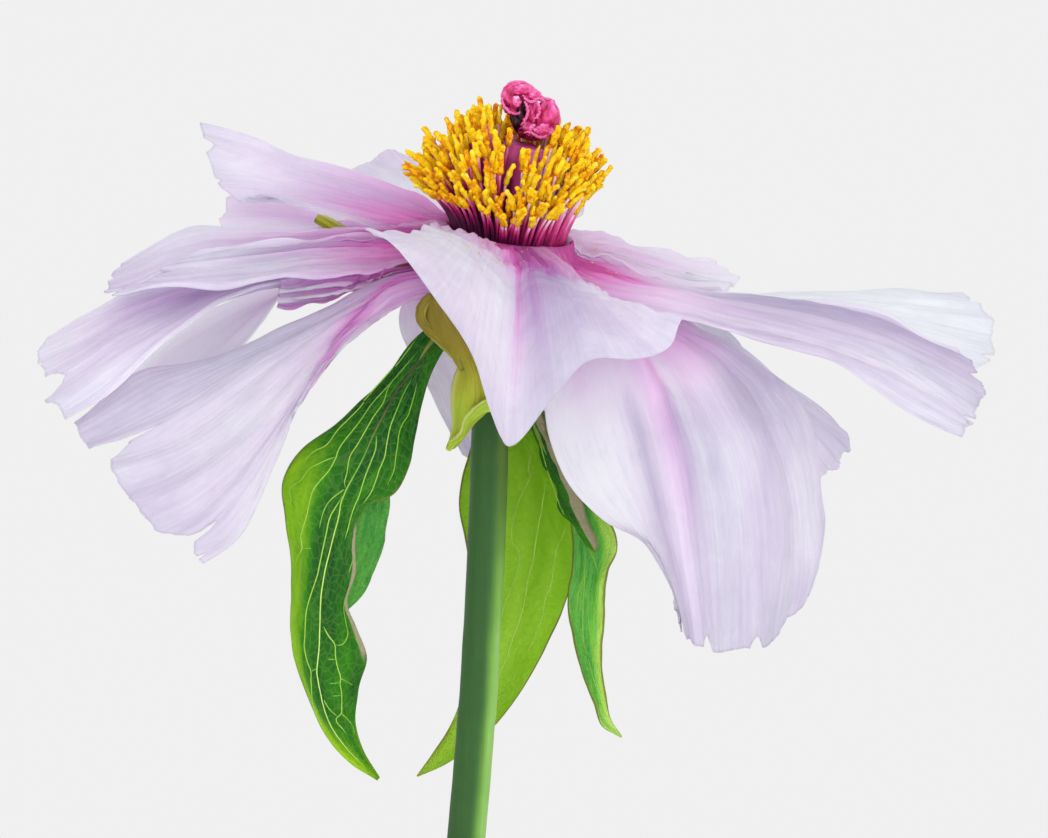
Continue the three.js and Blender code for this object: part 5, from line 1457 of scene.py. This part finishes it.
def make_stamens():
    """Makes the stamens on their ring and returns the pollen's finish."""
    filaments = new_mesh("along", "tint")
    anthers = new_mesh("tint")
    for row, count in enumerate(STAMENS_IN_ROWS):
        inwards = row / (len(STAMENS_IN_ROWS) - 1)
        for i in range(count):
            k = row * 100 + i
            azimuth = (i + 0.5 * (row % 2) + 0.7 * (scatter(k) - 0.5)) / count * 2 * math.pi
            gap = sum(
                depth * math.exp(-((math.degrees(azimuth) - middle) / half) ** 2)
                for middle, half, depth in CARPEL_GAPS
            )
            if gap * inwards > 0.35:
                continue
            outer = around(OUTER_LEAN, azimuth)
            lean = math.radians(outer + (INNER_LEAN - outer) * inwards ** 0.8)
            lean += 0.26 * (scatter(k + 7) - 0.5)
            outer = around(OUTER_LENGTH, azimuth)
            length = outer + (around(INNER_LENGTH, azimuth) - outer) * inwards
            length += 5.0 * (scatter(k + 3) - 0.5)
            radius = STAMEN_RING_RADIUS - 0.2 - row * STAMEN_ROW_STEP
            add_stamen(filaments, anthers, radius, azimuth, lean, length * (1 - 0.28 * gap), k)
    ring = STAMEN_RING_RADIUS
    for number, (degrees, length) in enumerate(DROOPING):
        azimuth, lean = math.radians(degrees), math.radians(DROOPING_LEAN)
        add_stamen(filaments, anthers, ring, azimuth, lean, length, 900 + number)
    inner = ring - len(STAMENS_IN_ROWS) * STAMEN_ROW_STEP
    profile = [(inner, GAP), (ring + 0.3, GAP), (ring + 0.4, 1.0)]
    profile += [(ring - 0.4, 1.8), (inner, 1.9), (inner, GAP)]
    base = new_mesh("along", "tint")
    spin_profile(base, profile, steps=72)
    bmesh.ops.transform(base, matrix=BLOOM_FRAME, verts=base.verts[:])
    close_seams(filaments)
    close_seams(anthers)
    thread = filament_tissue()
    make_piece("stamen_ring", base, [thread], ["stamens"])
    make_piece("filaments", filaments, [thread], ["stamens"])
    pollen = anther_pollen()
    grown = make_piece("anthers", anthers, [pollen], ["stamens"])
    for vert in grown.data.vertices:
        # pollen lies in lumps 0.8 mm and 2 mm apart
        lumps = noise.noise(vert.co * 1300) * 0.3 + noise.noise(vert.co * 500) * 0.2
        vert.co += vert.normal * (lumps * MM)
    return pollen


# an anther's width along its length: the share of its length and the share of its full width
ANTHER_SHAPE = [
    (0.0, 0.0), (0.04, 0.6), (0.16, 1.0), (0.34, 0.82),
    (0.52, 1.06), (0.72, 0.8), (0.9, 0.84), (1.0, 0.0),
]
FILAMENT_STOPS = (0, 0.2, 0.4, 0.6, 0.8, 1.0)
STAMEN_STEPS = 12


def add_stamen(filaments, anthers, radius, azimuth, lean, length, k):
    """Adds a slim filament that bends outwards and ends in a long, twisted, two-lobed anther."""
    out = Vector((math.cos(azimuth), math.sin(azimuth), 0))
    side = Vector((-out.y, out.x, 0))
    # in mm: how far the filament's tip sways sideways, and how the anther bends outwards and aside
    sway = (scatter(k + 0.5) - 0.5) * 5.6
    bend = (scatter(k + 0.8) - 0.4) * 3.6
    twist = (scatter(k + 0.3) - 0.5) * 5.0
    anther_length = min(3.6 + 2.2 * scatter(k + 5), 0.42 * length)
    start = 1 - anther_length / length
    points = []
    for step in range(STAMEN_STEPS + 1):
        t = step / STAMEN_STEPS
        late = max(t - start, 0) * (length / anther_length)
        angle = lean * (0.45 + 0.55 * t)
        point = out * (radius + length * t * math.sin(angle))
        point.z = 1 + length * t * math.cos(angle)
        point += side * (sway * t * t + twist * 0.4 * late * late)
        point += out * (bend * 0.45 * late * late)
        points.append(BLOOM_FRAME @ (point * MM))

    def line(t):
        return spline(points, t)

    # painted light: filaments on the right of the ring are lighter and those on the left darker, each with a
    # random tone as well
    bright = 0.28 * math.cos(azimuth) - 0.04 + 0.26 * (scatter(k + 9) - 0.5)
    add_rod(
        filaments, line, [start * s for s in FILAMENT_STOPS] + [start + 0.02], sides=6,
        radius_at=lambda t, turn: 0.0 if t > start + 0.01 else 0.46 - 0.2 * t / start,
        paint={
            "along": lambda t, turn: 0.9 * (t / start) ** 1.5 - 0.12,
            "tint": lambda t, turn: bright,
        },
    )
    width = 0.44 + 0.22 * scatter(k + 11)
    profile = {start + (1 - start) * s: width * r for s, r in ANTHER_SHAPE}
    tone = 0.34 * (scatter(k + 15) - 0.5)

    # the anther's tone: random, with painted shade in orange towards its base
    def anther_tone_and_painted_shade(t, turn):
        return tone - 0.12 - 0.25 * max(0.0, 1 - (t - start) / (1 - start) * 3)

    add_rod(
        anthers, line, list(profile), sides=8,
        radius_at=lambda t, turn: profile[t] * (0.72 + 0.5 * abs(math.cos(turn + k))),
        twist=5.0 * (scatter(k + 13) - 0.5) / max(1 - start, 0.1),
        paint={"tint": anther_tone_and_painted_shade},
    )


POLLEN = make_stamens()

# Pollen that fell on the petals: how many grains, on which petal, and the window of the photograph
# that they lie in: left, right, bottom and top in mm.
FALLEN_POLLEN = [
    (30, "petal_front", (-8, 9, -4.5, 1)),
    (6, "petal_right", (12, 22, -7.5, -4)),
    (6, "petal_back_right", (12, 24, -5, 1)),
]


def scatter_pollen():
    grains = new_mesh("tint")
    layer = grains.verts.layers.float["tint"]
    for group, (count, petal, (left, right, bottom, top)) in enumerate(FALLEN_POLLEN):
        for n in range(count):
            k = 300 * group + n
            across = left + (right - left) * scatter(k + 0.21)
            place = on_surface(SKINS[petal], across, bottom + (top - bottom) * scatter(k + 0.63))
            if place is None:
                continue
            size = (0.1 + 0.14 * scatter(k + 0.4) ** 3) * MM
            made = bmesh.ops.create_icosphere(grains, subdivisions=1, radius=size)["verts"]
            for vert in made:
                vert.co += place - Vector((0, 0.2, -0.2)) * MM
                vert[layer] = 0.1
    make_piece("fallen_pollen", grains, [POLLEN])


scatter_pollen()

# ---- Pistil ----

CARPEL_RADIUS = 5.3
CARPEL_LINE = [(0, 0, 2 * GAP), (0, 0, 7), (0.3, -0.2, 14), (0.9, -0.4, 20)]
CARPEL_POINTS = [BLOOM_FRAME @ (Vector(point) * MM) for point in CARPEL_LINE]


def make_carpels():
    def radius_at(t, turn):
        if t <= 0 or t >= 1:
            return 0.0
        swell = 1 - 0.12 * t + 0.12 * math.sin(math.pi * t) - 0.25 * smooth(0.85, 1.0, t)
        lobes = 0.84 + 0.16 * abs(math.cos(2.5 * turn))
        rough = 0.25 * grain(3 * math.cos(turn), 3 * math.sin(turn) + 5 * t, 2.5)
        return CARPEL_RADIUS * swell * lobes + rough

    # painted light: the column is paler on the side towards the lights and darker on the far side, with
    # painted shade in its grooves; it is also lighter towards the top
    def tint(t, turn):
        groove = 1 - abs(math.cos(2.5 * turn))
        lit = 0.45 * smooth(-0.5, 0.9, math.cos(turn + 0.5))
        return -0.1 + lit - 0.35 * groove ** 3 + 0.25 * smooth(0.5, 1.0, t)

    bm = new_mesh("tint")
    add_rod(
        bm, lambda t: spline(CARPEL_POINTS, t), closed_stops(40), sides=60,
        radius_at=radius_at, paint={"tint": tint},
    )
    close_seams(bm)
    make_piece("carpel_column", bm, [carpel_skin()], ["carpels"])


make_carpels()

# The stigmas: fleshy lobes, each by its middle, its radii across, up and back in mm, and how light
# it is. The one below 0 is a dark lobe set in the hollow between the two large ones: painted shade.
STIGMA_LOBES = [
    ([0.5, 28.4, -1.4], (1.9, 3.0, 2.6), 0.3),
    ([2.3, 30.3, -1.6], (2.8, 1.5, 2.5), 0.5),
    ([4.8, 29.3, -1.4], (1.8, 1.3, 2.2), 0.5),
    ([1.7, 28.0, -3.6], (1.0, 1.1, 0.9), 0.66),
    ([0.5, 26.1, -2.0], (1.3, 0.9, 1.8), 0.22),
    ([2.4, 25.2, 0.6], (2.1, 3.2, 2.2), -0.2),
    ([4.9, 25.7, -2.1], (1.25, 3.1, 1.8), 0.36),
    ([4.4, 22.8, -1.8], (1.5, 1.6, 1.8), 0.5),
    ([7.9, 25.0, -1.2], (2.3, 3.6, 2.9), 0.36),
    ([7.1, 22.4, -2.4], (2.0, 1.8, 2.2), 0.54),
    ([3.2, 27.0, 3.0], (3.1, 3.6, 3.0), 0.36),
    ([7.2, 24.8, 2.8], (2.9, 3.3, 2.9), 0.4),
    ([4.8, 22.2, 1.2], (2.9, 2.3, 2.9), 0.2),
]
# Their pale rims run over the lobes as thin wavy cords.
STIGMA_RIMS = [
    [[3.4, 28.4, -3.5], [3.7, 27.2, -4.0], [4.0, 26.0, -4.2], [3.7, 24.9, -4.1], [3.2, 24.0, -3.8],
     [2.6, 23.2, -3.3]],
    [[5.5, 28.4, -3.5], [6.1, 27.2, -3.9], [6.2, 26.0, -4.1], [5.9, 25.0, -4.2], [5.3, 24.6, -4.2]],
    [[3.0, 29.4, -3.7], [3.7, 28.3, -4.0], [4.9, 27.9, -4.0], [5.7, 28.5, -3.5], [7.0, 28.5, -3.0]],
    [[-1.2, 28.8, -2.9], [-0.8, 27.2, -3.4], [0.1, 26.1, -3.7], [1.4, 25.5, -3.5], [2.6, 25.9, -3.0]],
    [[3.2, 21.9, -3.4], [4.6, 21.8, -3.6], [5.6, 21.2, -3.8], [6.6, 20.8, -3.9], [7.8, 21.2, -3.9]],
    [[-1.4, 29.2, -1.4], [-0.4, 31.0, -1.4], [1.4, 31.9, -1.5], [3.4, 31.6, -1.5], [5.2, 30.4, -1.3],
     [6.6, 28.9, -1.2], [8.6, 28.2, -1.2], [10.0, 26.2, -1.0], [10.3, 24.0, -0.8], [9.6, 22.2, -1.0]],
    [[1.0, 30.0, 4.6], [3.2, 30.8, 5.0], [5.6, 28.6, 5.6], [8.4, 27.6, 5.0]],
]
CREASE_WIDTH = 0.16


def make_stigmas():
    tissue = stigma_tissue()
    lobes = new_mesh("rim")
    layer = lobes.verts.layers.float["rim"]
    for number, (middle, (across, up, back), light) in enumerate(STIGMA_LOBES):
        made = bmesh.ops.create_icosphere(lobes, subdivisions=4, radius=1.0)["verts"]
        centre = seen(middle)
        for vert in made:
            way = vert.co.copy()
            swell = noise.noise(way * 1.5 + Vector((number * 4.1, 0, 0)))
            pits = noise.noise(way * 5.0 + Vector((0, number * 2.7, 0)))
            creases = abs(noise.noise(way * 2.6 + Vector((number * 1.9, 4, 0))))
            creased = max(0.0, CREASE_WIDTH - creases)
            reach = 0.97 + 0.22 * swell + 0.06 * pits - 0.22 * creased / CREASE_WIDTH
            shape = Vector((way.x * across, way.y * back, way.z * up))
            vert.co = centre + shape * (reach * MM)
            # each lobe's lightness also follows its swellings and pits; it is lighter on its upper side,
            # painted light, and darker in its creases, painted shade
            vert[layer] = light + 0.02 + 0.35 * swell + 0.12 * pits + 0.12 * way.z - 0.5 * creased
    make_piece("stigma_lobes", lobes, [tissue], ["stigmas"])

    rims = new_mesh("rim")
    for number, path in enumerate(STIGMA_RIMS):
        points = [seen(point) for point in path]
        rings = 10 * len(points)

        def wavy(t):
            wave = Vector([grain(14 * t, way, number) for way in (0, 5, 9)])
            return spline(points, t) + wave * (0.35 * MM)

        def radius_at(t, turn):
            if t in (0, 1):
                return 0.0
            return 0.17 + 0.14 * math.sin(math.pi * t) + 0.08 * grain(30 * t, 2, number)

        add_rod(
            rims, wavy, [k / rings for k in range(rings + 1)], sides=8,
            radius_at=radius_at, paint={"rim": lambda t, turn: 0.62},
        )
    close_seams(rims)
    make_piece("stigma_rims", rims, [tissue], ["stigmas"])


make_stigmas()

# ---- Vase and water ----

VASE_OUTSIDE = [
    (VASE_FOOT_RADIUS, 1.5),
    (VASE_FOOT_RADIUS + 5.5, 14),
    (VASE_BODY_RADIUS - 1, 29),
    (VASE_BODY_RADIUS, VASE_BODY_HEIGHT),
    (VASE_BODY_RADIUS - 1.8, 57),
    (VASE_BODY_RADIUS - 7.5, 71),
    (VASE_BODY_RADIUS - 15.5, 84),
    (VASE_NECK_RADIUS + 3.4, 96),
    (VASE_NECK_RADIUS, VASE_NECK_HEIGHT),
    (VASE_NECK_RADIUS, LIP_LOW),
    (VASE_LIP_RADIUS, VASE_HEIGHT - 1.2),
]
VASE_RIM = [
    (VASE_LIP_RADIUS - 0.2, VASE_HEIGHT - 0.4),
    (VASE_LIP_RADIUS - 1.2, VASE_HEIGHT),
    (VASE_LIP_RADIUS - 2.4, VASE_HEIGHT - 0.3),
    (VASE_LIP_RADIUS - VASE_WALL, VASE_HEIGHT - 1.2),
]


def make_vase():
    outside = [Vector((radius, height)) for radius, height in VASE_OUTSIDE]
    curve = [spline(outside, k / LINE_SAMPLES) for k in range(LINE_SAMPLES + 1)]
    profile = [(0, 0), (VASE_FOOT_RADIUS - 1.5, 0), (VASE_FOOT_RADIUS - 0.4, 0.35)]
    profile += [(point.x, point.y) for point in curve] + VASE_RIM
    inside = [(point.x - VASE_WALL, point.y) for point in reversed(curve) if point.y > VASE_FLOOR + 1]
    profile += inside[1:] + [(VASE_FOOT_RADIUS - VASE_WALL - 1, VASE_FLOOR), (0, VASE_FLOOR)]
    bm = new_mesh()
    spin_profile(bm, profile, steps=96)
    make_piece("bud_vase", bm, [vase_glaze()], ["vase"])


make_vase()

still_water = clear_water()
for slot in bpy.data.objects["water"].material_slots:
    slot.link = "OBJECT"
    slot.material = still_water

# ---- Floor, light and camera ----

PAPER_RADIUS = 0.75

floor_mesh = bmesh.new()
bmesh.ops.create_circle(floor_mesh, cap_ends=True, segments=96, radius=PAPER_RADIUS)
paper = bpy.data.meshes.new("floor")
floor_mesh.to_mesh(paper)
floor_mesh.free()
floor = bpy.data.objects.new("floor", paper)
bpy.context.scene.collection.objects.link(floor)
paper.materials.append(background_paper())

TARGET = Vector((BLOOM_RIGHT + VIEW_RIGHT, 0, BLOOM_HEIGHT + VIEW_UP / math.cos(VIEW_DOWN))) * MM

# each light's name, place and width in metres, power in watts and tint
LIGHTS = [
    ("key", (-0.45, -1.0, 1.0), 0.5, 1.4, (1.0, 1.0, 0.99)),
    ("side", (0.95, -0.2, 0.3), 0.4, 1.0, (1.0, 0.99, 0.97)),
    ("front", (0.1, -1.32, 0.5), 0.8, 2.5, (1.0, 1.0, 1.0)),
    ("low_left", (-0.4, -0.7, 0.06), 0.5, 1.3, (1.0, 1.0, 1.0)),
    ("low_right", (0.4, -0.7, 0.1), 0.5, 1.3, (1.0, 1.0, 1.0)),
    ("top", (0.0, -0.15, 1.5), 0.8, 1.5, (1.0, 1.0, 1.0)),
]
for name, place, size, power, tint in LIGHTS:
    light = bpy.data.lights.new(name, "AREA")
    light.shape = "DISK"
    light.size = size
    light.energy = power
    light.color = tint
    lamp = bpy.data.objects.new(name, light)
    lamp.location = place
    lamp.rotation_euler = (Vector(place) - TARGET).to_track_quat("Z", "Y").to_euler()
    bpy.context.scene.collection.objects.link(lamp)

world = bpy.data.worlds.new("studio")
bpy.context.scene.world = world
world.use_nodes = True
world.node_tree.nodes.clear()
sky = world.node_tree
path = node(sky, "LightPath")
ambient = node(sky, "Background", {"Color": srgb("F0F0F0"), "Strength": 1.06})
backdrop = node(sky, "Background", {"Color": srgb("F0F0F0"), "Strength": 1.0})
shown = node(sky, "MixShader", {0: path.outputs["Is Camera Ray"], 1: ambient, 2: backdrop})
node(sky, "OutputWorld", {"Surface": shown})

SENSOR_WIDTH = 36
camera_data = bpy.data.cameras.new("camera")
camera_data.sensor_width = SENSOR_WIDTH
camera_data.lens = SENSOR_WIDTH * VIEW_DISTANCE / FRAME_WIDTH
camera = bpy.data.objects.new("camera", camera_data)
towards = Vector((0, math.cos(VIEW_DOWN), -math.sin(VIEW_DOWN)))
camera.location = TARGET - towards * (VIEW_DISTANCE * MM)
camera.rotation_euler = (-towards).to_track_quat("Z", "Y").to_euler()
bpy.context.scene.collection.objects.link(camera)
bpy.context.scene.camera = camera
bpy.context.scene.view_settings.view_transform = "Standard"
